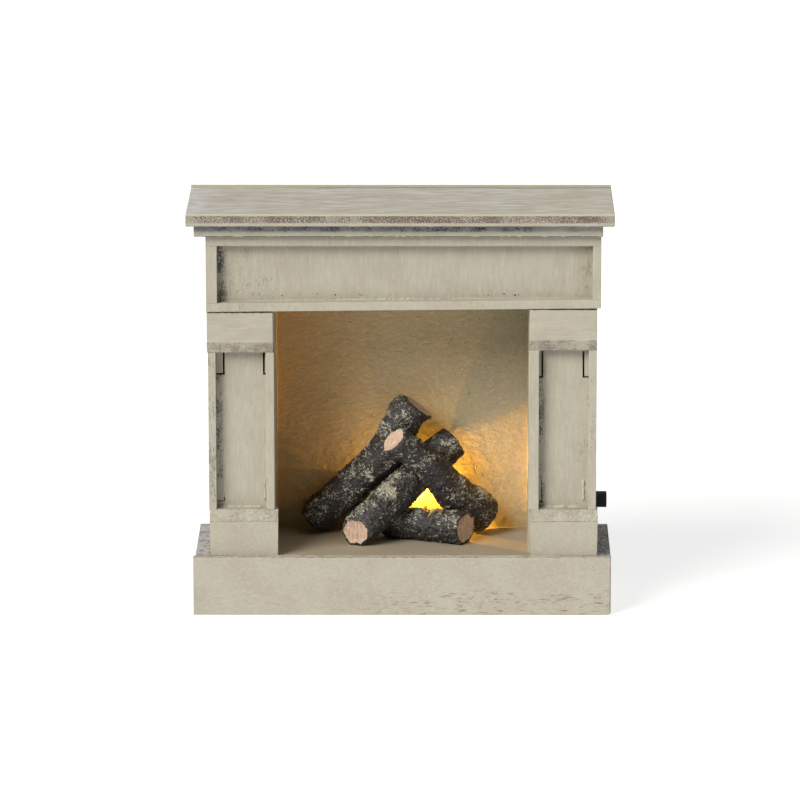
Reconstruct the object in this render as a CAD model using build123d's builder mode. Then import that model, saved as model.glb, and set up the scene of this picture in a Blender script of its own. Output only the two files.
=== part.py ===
from build123d import *
import math
import os

# Miniature fireplace mantel for a dolls house, with a lit log fire.
# Millimetres. Z up, front towards -Y, origin under the middle of the whole outline.
# The boards are cut by hand from thin stock, so left and right differ by about a millimetre.

# ---- whole object ----
width = 160.0
depth = 56.0
height = 155.6
front_y = -depth / 2
back_y = depth / 2

# ---- board stock ----
ply = 3.0
liner = 2.0
carcass_back = back_y - ply

# ---- levels ----
base_top = 22.4
frieze_top = 145.8
moulding_top = 150.3
shelf_top = 155.1

# ---- shelf and moulding ----
shelf_edge = 0.45
moulding_x = (-77.1, 75.8)
moulding_front = -24.5
moulding_edge = 0.35

# ---- frieze: its lower edge rises a little to the right ----
frieze_x = (-72.8, 75.2)
frieze_low = (116.55, 118.0)
trim_front = -22.0
frieze_panel_front = -18.0
frieze_panel_back = frieze_panel_front + ply
frieze_border_left = 4.2
frieze_border_right = 3.1
frieze_border_top = 4.0
frieze_border_low = 3.3
trim_edge = 0.2

# ---- columns ----
panel_front = -16.3
panel_back = panel_front + ply
strip_front = -20.3
capital_bevel = 4.3
capital_foot = (100.7, 101.6)
capital_head = (116.2, 117.4)
plinth_top = 40.0
plinth_bevel = 4.6
shaft_x = ((-72.3, -47.5), (48.3, 73.8))
capital_x = ((-72.6, -47.8), (48.55, 73.8))
plinth_x = ((-71.8, -46.3), (49.2, 74.3))
outer_wall = (5.45, 4.55)
inner_wall = (3.55, 4.75)
outer_strip = (2.9, 3.0)
inner_strip = (3.1, 3.85)
tab_height = 9.5
tab_gap = 0.7
upper_tab = (91.9, 90.8)
lower_tab = 42.5
lower_tab_gap = 0.3
lower_tab_height = 8.7

# ---- base ----
base_x = (-77.6, 79.45)
base_front_x = (-78.35, 79.45)
base_front_y = -25.0
base_edge = 0.3
base_worn_corner = 0.9
wire_hole_xy = (58.5, 9.0)
wire_hole_radius = 4.0

# ---- battery box, behind the frieze and open at the back ----
box_x = (-27.5, 27.5)
box_z = (120.9, 145.5)
box_front = 13.6
box_wall = 1.5
cell_radius = 5.25
cell_pitch = 10.8
cell_gap = 0.1
cell_body = 43.5
cell_nub = 1.0
cell_nub_radius = 1.9
contact = 0.4
contact_width = 8.0
contact_y = (16.0, 24.8)
tag_y = (19.4, 21.4)
tag_length = 3.0
spring_wire = 0.25
spring_radius = 3.2
spring_pitch = 1.9
spring_end_gap = 0.1
rib_half = 0.6
rib_height = 1.9
rib_half_length = 17.0
cover_gap = 0.2
cover_hinge_y = 26.9
cover_hinge_inset = 1.3
cover_barrel = 1.0
cover_inside = 26.5
peg_radius = 0.6
peg_length = 1.1
peg_clearance = 0.06
grip_grooves = 3
grip_pitch = 2.0
grip_width = 0.9
grip_depth = 0.4
scoop_radius = 4.0
scoop_depth = 1.7

# ---- switch on the right side ----
knob_z = (36.4, 41.9)
knob_half_y = 1.65
knob_tip_x = 78.3
knob_root_x = 70.2
knob_travel = 2.6
knob_gap = 0.25
knob_edge = 0.3
switch_z = (31.4, 44.0)
switch_half_y = 3.6
switch_x = (66.7, 71.7)
switch_well = 1.8
switch_seat_gap = 0.2
terminal_x = 62.7
terminal_pitch = 3.5
terminal_thickness = 0.6
terminal_half_y = 0.7

# ---- light ----
light_xy = (6.0, 18.0)
lens_radius = 2.5
lens_rim_radius = 2.9
lens_rim = 1.0
lens_foot = 31.5
lens_height = 8.6
holder_radius = 4.0
holder_shank = 2.9
holder_bore = 1.9
hearth_hole = 3.0
lead_half_pitch = 1.27
lead_width = 0.5
lead_foot = 16.0

# ---- wires ----
wire_radius = 0.5
wire_arc_share = 0.45

# ---- logs: centre of each section, then its radius ----
log_left_run = (
    ((-33.7, 15.8, 26.0), 5.9),
    ((-27.7, 15.2, 32.9), 6.8),
    ((-19.9, 14.0, 39.6), 7.1),
    ((-9.8, 12.2, 50.1), 7.3),
    ((-3.7, 10.6, 58.1), 7.3),
    ((0.8, 9.6, 68.2), 6.9),
    ((6.6, 9.4, 73.1), 6.6),
)
log_front_run = (
    ((-17.3, -6.8, 27.7), 6.0),
    ((-8.0, -0.5, 35.0), 6.6),
    ((3.0, 6.8, 44.3), 6.6),
    ((13.6, 13.2, 53.1), 6.6),
    ((20.1, 16.4, 57.8), 6.4),
)
log_right_run = (
    ((-2.7, -4.4, 63.3), 5.9),
    ((5.9, -2.0, 57.0), 5.6),
    ((12.2, 1.0, 50.5), 5.9),
    ((17.2, 4.6, 43.6), 6.5),
    ((25.2, 11.0, 34.7), 7.7),
    ((32.2, 14.6, 27.7), 6.5),
)
log_low_run = (
    ((24.6, -3.8, 28.8), 6.3),
    ((11.8, 2.2, 28.2), 6.0),
    ((0.4, 6.2, 28.2), 5.6),
    ((-6.5, 8.4, 28.0), 5.2),
)
# ---- directions that the askew saw cuts face ----
log_front_cut = (-0.4, -0.9, -0.1)
log_low_cut = (0.8, -0.6, 0.0)
log_right_cut = (-0.63, -0.36, 0.69)
log_left_cut = (0.62, 0.02, 0.79)

os.makedirs("parts", exist_ok=True)


def middle(span):
    return (span[0] + span[1]) / 2


def size(span):
    return span[1] - span[0]


def front_plane(y):
    """Upright plane at depth y, drawn in X and Z, which extrudes towards the front."""
    return Plane.XZ.offset(-y)


def frieze_underside(x):
    """Height of the frieze's lower edge at x."""
    share = (x - frieze_x[0]) / size(frieze_x)
    return frieze_low[0] + share * size(frieze_low)


def save(piece, name):
    piece.part.label = name
    export_step(piece.part, f"parts/{name}.step")


def save_board(name, x_span, y_span, z_span, edge=0.0):
    """A plain rectangular board, with its edges eased where edge is given."""
    with BuildPart() as board:
        with BuildSketch(Plane.XY.offset(z_span[0])):
            with Locations((middle(x_span), middle(y_span))):
                Rectangle(size(x_span), size(y_span))
        extrude(amount=size(z_span))
        if edge:
            fillet(board.edges(), edge)
    save(board, name)


def save_sloped(name, x_span, y_span, low, high, front_edge=0.0):
    """A board whose lower and upper edges are functions of x, with its front edges eased."""
    with BuildPart() as board:
        with BuildSketch(front_plane(y_span[1])):
            with BuildLine():
                Polyline(
                    (x_span[0], low(x_span[0])),
                    (x_span[1], low(x_span[1])),
                    (x_span[1], high(x_span[1])),
                    (x_span[0], high(x_span[0])),
                    close=True,
                )
            make_face()
        extrude(amount=size(y_span))
        if front_edge:
            fillet(board.faces().sort_by(Axis.Y)[0].edges(), front_edge)
    save(board, name)


# ---------------------------------------------------------------- base


def make_base():
    """A shallow hollow plinth under the whole mantel, topped by the hearth."""
    with BuildPart() as base_front:
        with BuildSketch(front_plane(trim_front)):
            with Locations((middle(base_front_x), base_top / 2)):
                Rectangle(size(base_front_x), base_top)
        extrude(amount=trim_front - base_front_y)
        worn = base_front.edges().filter_by(Axis.Y).sort_by(Axis.X)[-2:].sort_by(Axis.Z)[0]
        chamfer(worn, base_worn_corner)
        fillet(base_front.faces().sort_by(Axis.Y)[0].edges(), base_edge)
    save(base_front, "base_front")

    carcass = (trim_front, carcass_back)
    under_hearth = (0.0, base_top - ply)
    left_end = (base_x[0], base_x[0] + ply)
    right_end = (base_x[1] - ply, base_x[1])
    save_board("base_left_end", left_end, carcass, under_hearth, trim_edge)
    save_board("base_right_end", right_end, carcass, under_hearth, trim_edge)
    save_board("base_bottom", (left_end[1], right_end[0]), carcass, (0.0, ply))

    with BuildPart() as hearth_board:
        with BuildSketch(Plane.XY.offset(base_top - ply)):
            with Locations((middle(base_x), middle(carcass))):
                Rectangle(size(base_x), size(carcass))
        extrude(amount=ply)
        fillet(hearth_board.edges().filter_by(Axis.Y), trim_edge)
        with BuildSketch(Plane.XY.offset(base_top)):
            with Locations(light_xy):
                Circle(hearth_hole)
            with Locations(wire_hole_xy):
                Circle(wire_hole_radius)
        extrude(amount=-ply, mode=Mode.SUBTRACT)
    save(hearth_board, "hearth_board")


# ---------------------------------------------------------------- back


def make_back():
    """The back panel fills the whole outline and stands just above the shelf as a lip."""
    body_x = (shaft_x[0][0], plinth_x[1][1])
    with BuildPart() as back_panel:
        with BuildSketch(front_plane(back_y)):
            for x_span, z_span in (
                (base_x, (0.0, base_top)),
                (body_x, (base_top, frieze_top)),
                (moulding_x, (frieze_top, moulding_top)),
                ((-width / 2, width / 2), (moulding_top, height)),
            ):
                with Locations((middle(x_span), middle(z_span))):
                    Rectangle(size(x_span), size(z_span))
            with Locations((middle(box_x), middle(box_z))):
                Rectangle(size(box_x), size(box_z), mode=Mode.SUBTRACT)
        extrude(amount=ply)
        with BuildSketch(front_plane(back_y)):
            with Locations((box_x[1], middle(box_z))):
                Circle(scoop_radius)
        extrude(amount=scoop_depth, mode=Mode.SUBTRACT)
    save(back_panel, "back_panel")

    with BuildPart() as firebox_back:
        opening = (shaft_x[0][1], shaft_x[1][0])
        with BuildSketch(front_plane(carcass_back)):
            with Locations((middle(opening), (base_top + frieze_low[0]) / 2)):
                Rectangle(size(opening), frieze_low[0] - base_top)
        extrude(amount=liner)
    save(firebox_back, "firebox_back")


# ---------------------------------------------------------------- columns


def column_spans(side):
    """X spans of a column's outer wall, inner wall, outer strip and inner strip."""
    x0, x1 = shaft_x[side]
    if side == 0:
        return (
            (x0, x0 + outer_wall[0]),
            (x1 - inner_wall[0], x1),
            (x0, x0 + outer_strip[0]),
            (x1 - inner_strip[0], x1),
        )
    return (
        (x1 - outer_wall[1], x1),
        (x0, x0 + inner_wall[1]),
        (x1 - outer_strip[1], x1),
        (x0, x0 + inner_strip[1]),
    )


def make_column_panel(name, side, wall_spans):
    """The recessed face of a column, notched at both edges for the tabs of its two walls."""
    x0, x1 = shaft_x[side]
    with BuildPart() as panel:
        with BuildSketch(front_plane(panel_back)):
            with BuildLine():
                Polyline(
                    (x0, base_top),
                    (x1, base_top),
                    (x1, frieze_underside(x1)),
                    (x0, frieze_underside(x0)),
                    close=True,
                )
            make_face()
            for wall in wall_spans:
                inboard = 1 if wall[0] == x0 else -1
                for foot, tall, gap in (
                    (upper_tab[side], tab_height, tab_gap),
                    (lower_tab, lower_tab_height, lower_tab_gap),
                ):
                    notch_x = middle(wall) + inboard * gap / 2
                    with Locations((notch_x, foot + (tall - gap) / 2)):
                        Rectangle(size(wall) + gap, tall + gap, mode=Mode.SUBTRACT)
        extrude(amount=ply)
    save(panel, name)


def make_column_wall(name, side, wall, with_switch):
    """A side wall from front panel to back panel, with two tabs that reach the panel's face."""
    with BuildPart() as upright:
        with BuildSketch(Plane.YZ.offset(wall[0])):
            top = frieze_underside(wall[0])
            with Locations((middle((panel_back, carcass_back)), (base_top + top) / 2)):
                Rectangle(carcass_back - panel_back, top - base_top)
            for foot, tall in ((upper_tab[side], tab_height), (lower_tab, lower_tab_height)):
                with Locations((panel_front + ply / 2, foot + tall / 2)):
                    Rectangle(ply, tall)
        extrude(amount=size(wall))
        if with_switch:
            slot_z = (knob_z[0] - knob_travel - knob_gap, knob_z[1] + knob_gap)
            with BuildSketch(Plane.YZ.offset(wall[0])):
                with Locations((0, middle(slot_z))):
                    Rectangle(2 * (knob_half_y + knob_gap), size(slot_z))
            extrude(amount=size(wall), mode=Mode.SUBTRACT)
            seat_y = 2 * (switch_half_y + switch_seat_gap)
            seat_z = size(switch_z) + 2 * switch_seat_gap
            with BuildSketch(Plane.YZ.offset(wall[0])):
                with Locations((0, middle(switch_z))):
                    Rectangle(seat_y, seat_z)
            extrude(amount=switch_x[1] - wall[0], mode=Mode.SUBTRACT)
    save(upright, name)


def make_trim_block(name, x_span, foot, head, bevel, bevel_at_foot):
    """A capital, bevelled at its foot, or a plinth block, bevelled at its head."""
    with BuildPart() as block:
        with BuildSketch(Plane.YZ.offset(x_span[0])):
            with BuildLine():
                if bevel_at_foot:
                    Polyline(
                        (panel_front, foot),
                        (strip_front, foot),
                        (trim_front, foot + bevel),
                        (trim_front, head),
                        (panel_front, head),
                        close=True,
                    )
                else:
                    Polyline(
                        (panel_front, foot),
                        (trim_front, foot),
                        (trim_front, head - bevel),
                        (strip_front, head),
                        (panel_front, head),
                        close=True,
                    )
            make_face()
        extrude(amount=size(x_span))
        fillet(block.faces().sort_by(Axis.Y)[0].edges(), trim_edge)
    save(block, name)


def make_column(prefix, side):
    outer, inner, outer_cover, inner_cover = column_spans(side)
    make_column_panel(f"{prefix}_panel", side, (outer, inner))
    make_column_wall(f"{prefix}_outer_wall", side, outer, with_switch=side == 1)
    make_column_wall(f"{prefix}_inner_wall", side, inner, with_switch=False)
    for part, x_span in (("outer_strip", outer_cover), ("inner_strip", inner_cover)):
        save_sloped(
            f"{prefix}_{part}",
            x_span,
            (strip_front, panel_front),
            lambda x: plinth_top,
            lambda x: capital_foot[side],
            trim_edge,
        )
    make_trim_block(
        f"{prefix}_capital", capital_x[side], capital_foot[side], capital_head[side], capital_bevel, True
    )
    make_trim_block(f"{prefix}_plinth", plinth_x[side], base_top, plinth_top, plinth_bevel, False)


# ---------------------------------------------------------------- frieze, moulding and shelf


def frieze_recess_low(x):
    return frieze_underside(x) + frieze_border_low


def frieze_recess_top(x):
    return frieze_top - frieze_border_top


def make_frieze():
    """A hollow beam over the fire opening, with a raised border on its front panel."""
    strips_y = (trim_front, frieze_panel_front)
    cavity_y = (frieze_panel_back, carcass_back)
    recess_x = (frieze_x[0] + frieze_border_left, frieze_x[1] - frieze_border_right)
    save_sloped(
        "frieze_panel",
        frieze_x,
        (frieze_panel_front, frieze_panel_back),
        frieze_underside,
        lambda x: frieze_top,
    )
    save_sloped(
        "frieze_top_strip", frieze_x, strips_y, frieze_recess_top, lambda x: frieze_top, trim_edge
    )
    save_sloped("frieze_low_strip", frieze_x, strips_y, frieze_underside, frieze_recess_low, trim_edge)
    for name, x_span in (
        ("frieze_left_strip", (frieze_x[0], recess_x[0])),
        ("frieze_right_strip", (recess_x[1], frieze_x[1])),
    ):
        save_sloped(name, x_span, strips_y, frieze_recess_low, frieze_recess_top, trim_edge)
    for name, x_span in (
        ("frieze_left_end", (frieze_x[0], frieze_x[0] + ply)),
        ("frieze_right_end", (frieze_x[1] - ply, frieze_x[1])),
    ):
        save_sloped(name, x_span, cavity_y, lambda x: frieze_underside(x) + ply, lambda x: frieze_top)

    with BuildPart() as soffit:
        with BuildSketch(front_plane(carcass_back)):
            with BuildLine():
                Polyline(
                    (frieze_x[0], frieze_underside(frieze_x[0])),
                    (frieze_x[1], frieze_underside(frieze_x[1])),
                    (frieze_x[1], frieze_underside(frieze_x[1]) + ply),
                    (frieze_x[0], frieze_underside(frieze_x[0]) + ply),
                    close=True,
                )
            make_face()
        extrude(amount=size(cavity_y))
        with BuildSketch(Plane.XY.offset(frieze_low[0])):
            with Locations(wire_hole_xy):
                Circle(wire_hole_radius)
        extrude(amount=2 * ply, mode=Mode.SUBTRACT)
    save(soffit, "frieze_soffit")


def make_top():
    moulding_z = (frieze_top, moulding_top)
    save_board("moulding_board", moulding_x, (moulding_front, carcass_back), moulding_z, moulding_edge)
    shelf_x = (-width / 2, width / 2)
    save_board("shelf_board", shelf_x, (front_y, carcass_back), (moulding_top, shelf_top), shelf_edge)


# ---------------------------------------------------------------- battery box

inside_x = (box_x[0] + box_wall, box_x[1] - box_wall)
inside_z = (box_z[0] + box_wall, box_z[1] - box_wall)
cell_z = (middle(box_z) + cell_pitch / 2, middle(box_z) - cell_pitch / 2)
cell_y = box_front + box_wall + cell_radius + cell_gap
hinge_x = inside_x[0] + cover_hinge_inset
cover_z = (inside_z[0] + cover_gap, inside_z[1] - cover_gap)


def make_battery_box():
    """An open-backed box for two cells, whose rim is flush with the back panel."""
    with BuildPart() as battery_box:
        with BuildSketch(front_plane(back_y)):
            with Locations((middle(box_x), middle(box_z))):
                Rectangle(size(box_x), size(box_z))
        extrude(amount=back_y - box_front)
        with BuildSketch(front_plane(back_y)):
            with Locations((middle(inside_x), middle(inside_z))):
                Rectangle(size(inside_x), size(inside_z))
        extrude(amount=back_y - box_front - box_wall, mode=Mode.SUBTRACT)
        with BuildSketch(front_plane(box_front + box_wall + rib_height)):
            with Locations((middle(inside_x), middle(inside_z))):
                Rectangle(2 * rib_half_length, 2 * rib_half)
        extrude(amount=rib_height)
        for height_z in cell_z:
            with BuildSketch(Plane.YZ.offset(inside_x[1])):
                with Locations((middle(tag_y), height_z)):
                    Rectangle(size(tag_y) + cover_gap, contact + cover_gap)
            extrude(amount=box_wall, mode=Mode.SUBTRACT)
        for z, direction in ((inside_z[0], -1), (inside_z[1], 1)):
            with BuildSketch(Plane.XY.offset(z)):
                with Locations((hinge_x, cover_hinge_y)):
                    Circle(peg_radius + peg_clearance)
            extrude(amount=direction * (peg_length + cover_gap), mode=Mode.SUBTRACT)
        with BuildSketch(front_plane(back_y)):
            with Locations((box_x[1] - box_wall / 2, middle(box_z))):
                Rectangle(box_wall, 2 * scoop_radius)
        extrude(amount=scoop_depth, mode=Mode.SUBTRACT)
    save(battery_box, "battery_box")


def make_battery_cover():
    """A snap-in cover that swings on two small pegs at its left end."""
    cover_x = (hinge_x, inside_x[1] - cover_gap)
    with BuildPart() as battery_cover:
        with BuildSketch(Plane.XY.offset(cover_z[0])):
            with Locations((middle(cover_x), middle((cover_inside, back_y)))):
                Rectangle(size(cover_x), back_y - cover_inside)
            with Locations((hinge_x, cover_hinge_y)):
                Circle(cover_barrel)
        extrude(amount=size(cover_z))
        for z, direction in ((cover_z[0], -1), (cover_z[1], 1)):
            with BuildSketch(Plane.XY.offset(z)):
                with Locations((hinge_x, cover_hinge_y)):
                    Circle(peg_radius)
            extrude(amount=direction * (peg_length + cover_gap / 2))
        with BuildSketch(front_plane(back_y)):
            for number in range(grip_grooves):
                with Locations((cover_x[1] - (number + 1) * grip_pitch, middle(cover_z))):
                    Rectangle(grip_width, size(cover_z) / 2)
        extrude(amount=grip_depth, mode=Mode.SUBTRACT)
    save(battery_cover, "battery_cover")


def make_cell(name, height_z, direction):
    """One slim cylindrical cell, with its nub towards direction along X."""
    nub_x = direction * (inside_x[1] - contact)
    with BuildPart() as cell:
        with BuildSketch(Plane.YZ.offset(nub_x)):
            with Locations((cell_y, height_z)):
                Circle(cell_nub_radius)
        extrude(amount=-direction * cell_nub)
        with BuildSketch(Plane.YZ.offset(nub_x - direction * cell_nub)):
            with Locations((cell_y, height_z)):
                Circle(cell_radius)
        extrude(amount=-direction * cell_body)
        fillet(cell.edges().filter_by(GeomType.CIRCLE).group_by(SortBy.RADIUS)[-1], trim_edge)
    save(cell, name)


def make_contacts():
    """Two separate plates with solder tags on the right, and one plate across both cells on the left."""
    with BuildPart() as contacts:
        for height_z in cell_z:
            with BuildSketch(Plane.YZ.offset(inside_x[1] - contact)):
                with Locations((middle(contact_y), height_z)):
                    Rectangle(size(contact_y), contact_width)
            extrude(amount=contact)
            with BuildSketch(Plane.YZ.offset(inside_x[1])):
                with Locations((middle(tag_y), height_z)):
                    Rectangle(size(tag_y), contact)
            extrude(amount=tag_length)
        with BuildSketch(Plane.YZ.offset(inside_x[0])):
            with Locations((middle(contact_y), middle(box_z))):
                Rectangle(size(contact_y), cell_pitch + contact_width)
        extrude(amount=contact)
    save(contacts, "battery_contacts")


def make_springs():
    """A coil spring behind the flat end of each cell."""
    plate = inside_x[1] - contact
    space = 2 * plate - cell_nub - cell_body
    coil_height = space - 2 * (spring_wire + spring_end_gap)
    springs = []
    for height_z, side in ((cell_z[0], -1), (cell_z[1], 1)):
        start = Vector(side * (plate - spring_wire - spring_end_gap), cell_y, height_z)
        with BuildPart() as spring:
            with BuildLine() as coil:
                Helix(spring_pitch, coil_height, spring_radius, center=start, direction=(-side, 0, 0))
            with BuildSketch(Plane(coil.line @ 0, z_dir=coil.line % 0)):
                Circle(spring_wire)
            sweep(is_frenet=True)
        springs.append(spring.part)
    with BuildPart() as pair:
        add(springs)
    save(pair, "battery_springs")


# ---------------------------------------------------------------- switch


def make_switch():
    """A slide switch behind the right outer wall, whose knob runs up and down in a slot."""
    well_z = (knob_z[0] - knob_travel - knob_gap, knob_z[1] + knob_gap)
    with BuildPart() as switch_body:
        with BuildSketch(Plane.YZ.offset(switch_x[0])):
            with Locations((0, middle(switch_z))):
                Rectangle(2 * switch_half_y, size(switch_z))
        extrude(amount=size(switch_x))
        with BuildSketch(Plane.YZ.offset(switch_x[1])):
            with Locations((0, middle(well_z))):
                Rectangle(2 * (knob_half_y + knob_gap), size(well_z))
        extrude(amount=-switch_well, mode=Mode.SUBTRACT)
    save(switch_body, "switch_body")

    with BuildPart() as switch_knob:
        with BuildSketch(Plane.YZ.offset(knob_root_x)):
            with Locations((0, middle(knob_z))):
                Rectangle(2 * knob_half_y, size(knob_z))
        extrude(amount=knob_tip_x - knob_root_x)
        tip = switch_knob.faces().sort_by(Axis.X)[-1]
        fillet(tip.edges(), knob_edge)
    save(switch_knob, "switch_knob")

    with BuildPart() as switch_terminals:
        with BuildSketch(Plane.YZ.offset(terminal_x)):
            for step in (-1, 0, 1):
                with Locations((0, middle(switch_z) + step * terminal_pitch)):
                    Rectangle(2 * terminal_half_y, terminal_thickness)
        extrude(amount=switch_x[0] - terminal_x)
    save(switch_terminals, "switch_terminals")


# ---------------------------------------------------------------- light


def make_light():
    """A small lamp with a domed lens, standing in a holder on the hearth."""
    with BuildPart() as led_lens:
        with BuildSketch(Plane.XZ):
            with BuildLine():
                dome_z = lens_foot + lens_height - lens_radius
                Polyline(
                    (0, dome_z + lens_radius),
                    (0, lens_foot),
                    (lens_rim_radius, lens_foot),
                    (lens_rim_radius, lens_foot + lens_rim),
                    (lens_radius, lens_foot + lens_rim),
                    (lens_radius, dome_z),
                )
                RadiusArc((lens_radius, dome_z), (0, dome_z + lens_radius), -lens_radius)
            make_face()
        revolve(axis=Axis.Z)
    led_lens.part.position = (light_xy[0], light_xy[1], 0)
    save(led_lens, "led_lens")

    with BuildPart() as led_holder:
        with BuildSketch(Plane.XY.offset(base_top)):
            with Locations(light_xy):
                Circle(holder_radius)
        extrude(amount=lens_foot - base_top)
        with BuildSketch(Plane.XY.offset(base_top)):
            with Locations(light_xy):
                Circle(holder_shank)
        extrude(amount=-ply)
        with BuildSketch(Plane.XY.offset(lens_foot)):
            with Locations(light_xy):
                Circle(holder_bore)
        extrude(amount=-(lens_foot - base_top + ply), mode=Mode.SUBTRACT)
    save(led_holder, "led_holder")

    with BuildPart() as led_leads:
        with BuildSketch(Plane.XY.offset(lead_foot)):
            for side in (-1, 1):
                with Locations((light_xy[0] + side * lead_half_pitch, light_xy[1])):
                    Rectangle(lead_width, lead_width)
        extrude(amount=lens_foot - lead_foot)
    save(led_leads, "led_leads")


# ---------------------------------------------------------------- wires


def bend_radii(points):
    """Radius of each corner, as large as the shorter of its two runs allows."""
    corners = [Vector(*p) for p in points]
    radii = []
    for before, here, after in zip(corners, corners[1:], corners[2:]):
        turn = math.radians((here - before).get_angle(after - here))
        shorter = min((here - before).length, (after - here).length)
        radii.append(wire_arc_share * shorter / math.tan(turn / 2))
    return radii


def make_wire(name, points):
    """A round wire of straight runs joined by tangent arcs."""
    radii = bend_radii(points)
    with BuildPart() as wire:
        with BuildLine() as route:
            FilletPolyline(*points, radius=radii)
        with BuildSketch(Plane(route.line @ 0, z_dir=route.line % 0)):
            Circle(wire_radius)
        sweep()
    length = sum(edge.length for edge in route.edges())
    ratio = wire.part.volume / (math.pi * wire_radius**2 * length)
    print(name, "length", round(length, 1), "volume ratio", round(ratio, 4))
    save(wire, name)


def make_wires():
    """Three wires join box, switch and lamp, down the right column and through the hollow base."""
    tag_x = inside_x[1] + tag_length
    tag_middle = middle(tag_y)
    terminal_z = middle(switch_z)
    on_z = terminal_z + terminal_pitch
    lead_x = (light_xy[0] - lead_half_pitch, light_xy[0] + lead_half_pitch)
    make_wire(
        "wire_box_to_switch",
        [
            (tag_x, tag_middle, cell_z[0]),
            (39.0, 19.5, 138.2),
            (50.0, 14.5, 134.0),
            (57.0, 9.5, 124.5),
            (59.4, 7.2, 111.0),
            (60.4, 6.0, 90.0),
            (58.6, 4.0, 68.0),
            (56.3, 1.2, 54.0),
            (55.8, 0.3, 47.0),
            (57.8, 0.0, on_z),
            (terminal_x, 0.0, on_z),
        ],
    )
    make_wire(
        "wire_switch_to_lamp",
        [
            (terminal_x, 0.0, terminal_z),
            (57.7, 0.0, terminal_z),
            (55.9, 1.8, 32.2),
            (57.2, 6.6, 23.5),
            (54.5, 8.6, 14.8),
            (46.0, 10.5, 9.0),
            (31.0, 12.5, 7.0),
            (14.5, 16.2, 7.4),
            (8.2, 17.8, 10.8),
            (lead_x[1], light_xy[1], lead_foot),
        ],
    )
    make_wire(
        "wire_lamp_to_box",
        [
            (lead_x[0], light_xy[1], lead_foot),
            (5.4, 18.8, 10.4),
            (11.4, 20.2, 6.4),
            (29.0, 19.4, 5.4),
            (44.0, 16.4, 6.6),
            (54.8, 13.4, 12.0),
            (59.4, 11.2, 22.5),
            (61.0, 11.6, 40.0),
            (61.6, 13.4, 66.0),
            (60.8, 13.0, 92.0),
            (60.0, 11.0, 112.0),
            (57.4, 11.8, 122.5),
            (49.0, 15.6, 129.0),
            (38.5, 19.2, 129.2),
            (tag_x, tag_middle, cell_z[1]),
        ],
    )


# ---------------------------------------------------------------- logs


def section_plane(run, index, cut):
    """Plane across a log at one of its sections; the first or last may be cut askew."""
    centre = Vector(*run[index][0])
    before = Vector(*run[max(index - 1, 0)][0])
    after = Vector(*run[min(index + 1, len(run) - 1)][0])
    along = (after - before).normalized()
    if cut is not None:
        askew = Vector(*cut).normalized()
        along = askew if askew.dot(along) > 0 else -askew
    return Plane(centre, x_dir=along.cross(Vector(0, 0, 1)), z_dir=along)


def make_log(name, run, cuts, resting_against=()):
    """A slightly bent, tapering log; it is hollowed where it rests against another."""
    with BuildPart() as log:
        for index, (_, radius) in enumerate(run):
            with BuildSketch(section_plane(run, index, cuts.get(index))):
                Circle(radius)
        loft()
        for neighbour in resting_against:
            add(neighbour.part, mode=Mode.SUBTRACT)
        with BuildSketch(Plane.XY.offset(base_top)):
            Rectangle(width, depth)
        extrude(amount=-base_top, mode=Mode.SUBTRACT)
        with BuildSketch(front_plane(carcass_back)):
            with Locations((0, height / 2)):
                Rectangle(width, height)
        extrude(amount=liner, mode=Mode.SUBTRACT)
    save(log, name)
    return log


def make_logs():
    """Four logs, glued to each other and to the hearth."""
    log_front = make_log("log_front", log_front_run, {0: log_front_cut})
    log_right = make_log("log_right", log_right_run, {0: log_right_cut}, [log_front])
    log_left = make_log("log_left", log_left_run, {6: log_left_cut}, [log_front, log_right])
    make_log("log_low", log_low_run, {0: log_low_cut}, [log_front, log_right, log_left])


make_base()
make_back()
make_column("left", 0)
make_column("right", 1)
make_frieze()
make_top()
make_battery_box()
make_battery_cover()
make_cell("battery_cell_1", cell_z[0], 1)
make_cell("battery_cell_2", cell_z[1], -1)
make_contacts()
make_springs()
make_switch()
make_light()
make_wires()
make_logs()
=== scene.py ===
import math

import bmesh
import bpy
from mathutils import Euler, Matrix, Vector, noise
from mathutils.bvhtree import BVHTree


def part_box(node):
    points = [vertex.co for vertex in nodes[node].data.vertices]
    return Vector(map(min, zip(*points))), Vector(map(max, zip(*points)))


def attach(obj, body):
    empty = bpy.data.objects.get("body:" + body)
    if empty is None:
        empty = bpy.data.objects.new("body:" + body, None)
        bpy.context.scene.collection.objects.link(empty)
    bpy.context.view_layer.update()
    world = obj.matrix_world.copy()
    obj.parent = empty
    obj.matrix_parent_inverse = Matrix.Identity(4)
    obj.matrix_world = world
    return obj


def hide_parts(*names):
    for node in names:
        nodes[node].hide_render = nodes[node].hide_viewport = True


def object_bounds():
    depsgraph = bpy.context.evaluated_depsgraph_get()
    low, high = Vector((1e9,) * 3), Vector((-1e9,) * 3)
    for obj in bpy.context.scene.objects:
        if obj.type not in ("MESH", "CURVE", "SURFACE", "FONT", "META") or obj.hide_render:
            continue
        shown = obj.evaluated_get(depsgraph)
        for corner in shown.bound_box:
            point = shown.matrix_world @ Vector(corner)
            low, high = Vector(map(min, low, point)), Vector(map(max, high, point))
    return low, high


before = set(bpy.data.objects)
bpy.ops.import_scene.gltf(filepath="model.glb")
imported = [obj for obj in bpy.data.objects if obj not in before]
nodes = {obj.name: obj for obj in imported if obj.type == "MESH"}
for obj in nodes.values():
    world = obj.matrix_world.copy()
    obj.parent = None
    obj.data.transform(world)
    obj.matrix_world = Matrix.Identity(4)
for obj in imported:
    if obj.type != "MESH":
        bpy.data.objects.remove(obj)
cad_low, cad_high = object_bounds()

MM = 0.001

# ---------- sizes and amounts

# brush marks run along the axis whose share is below 1
UPRIGHT = (1, 1, 0.14)
LEVEL = (0.14, 1, 1)

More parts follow.
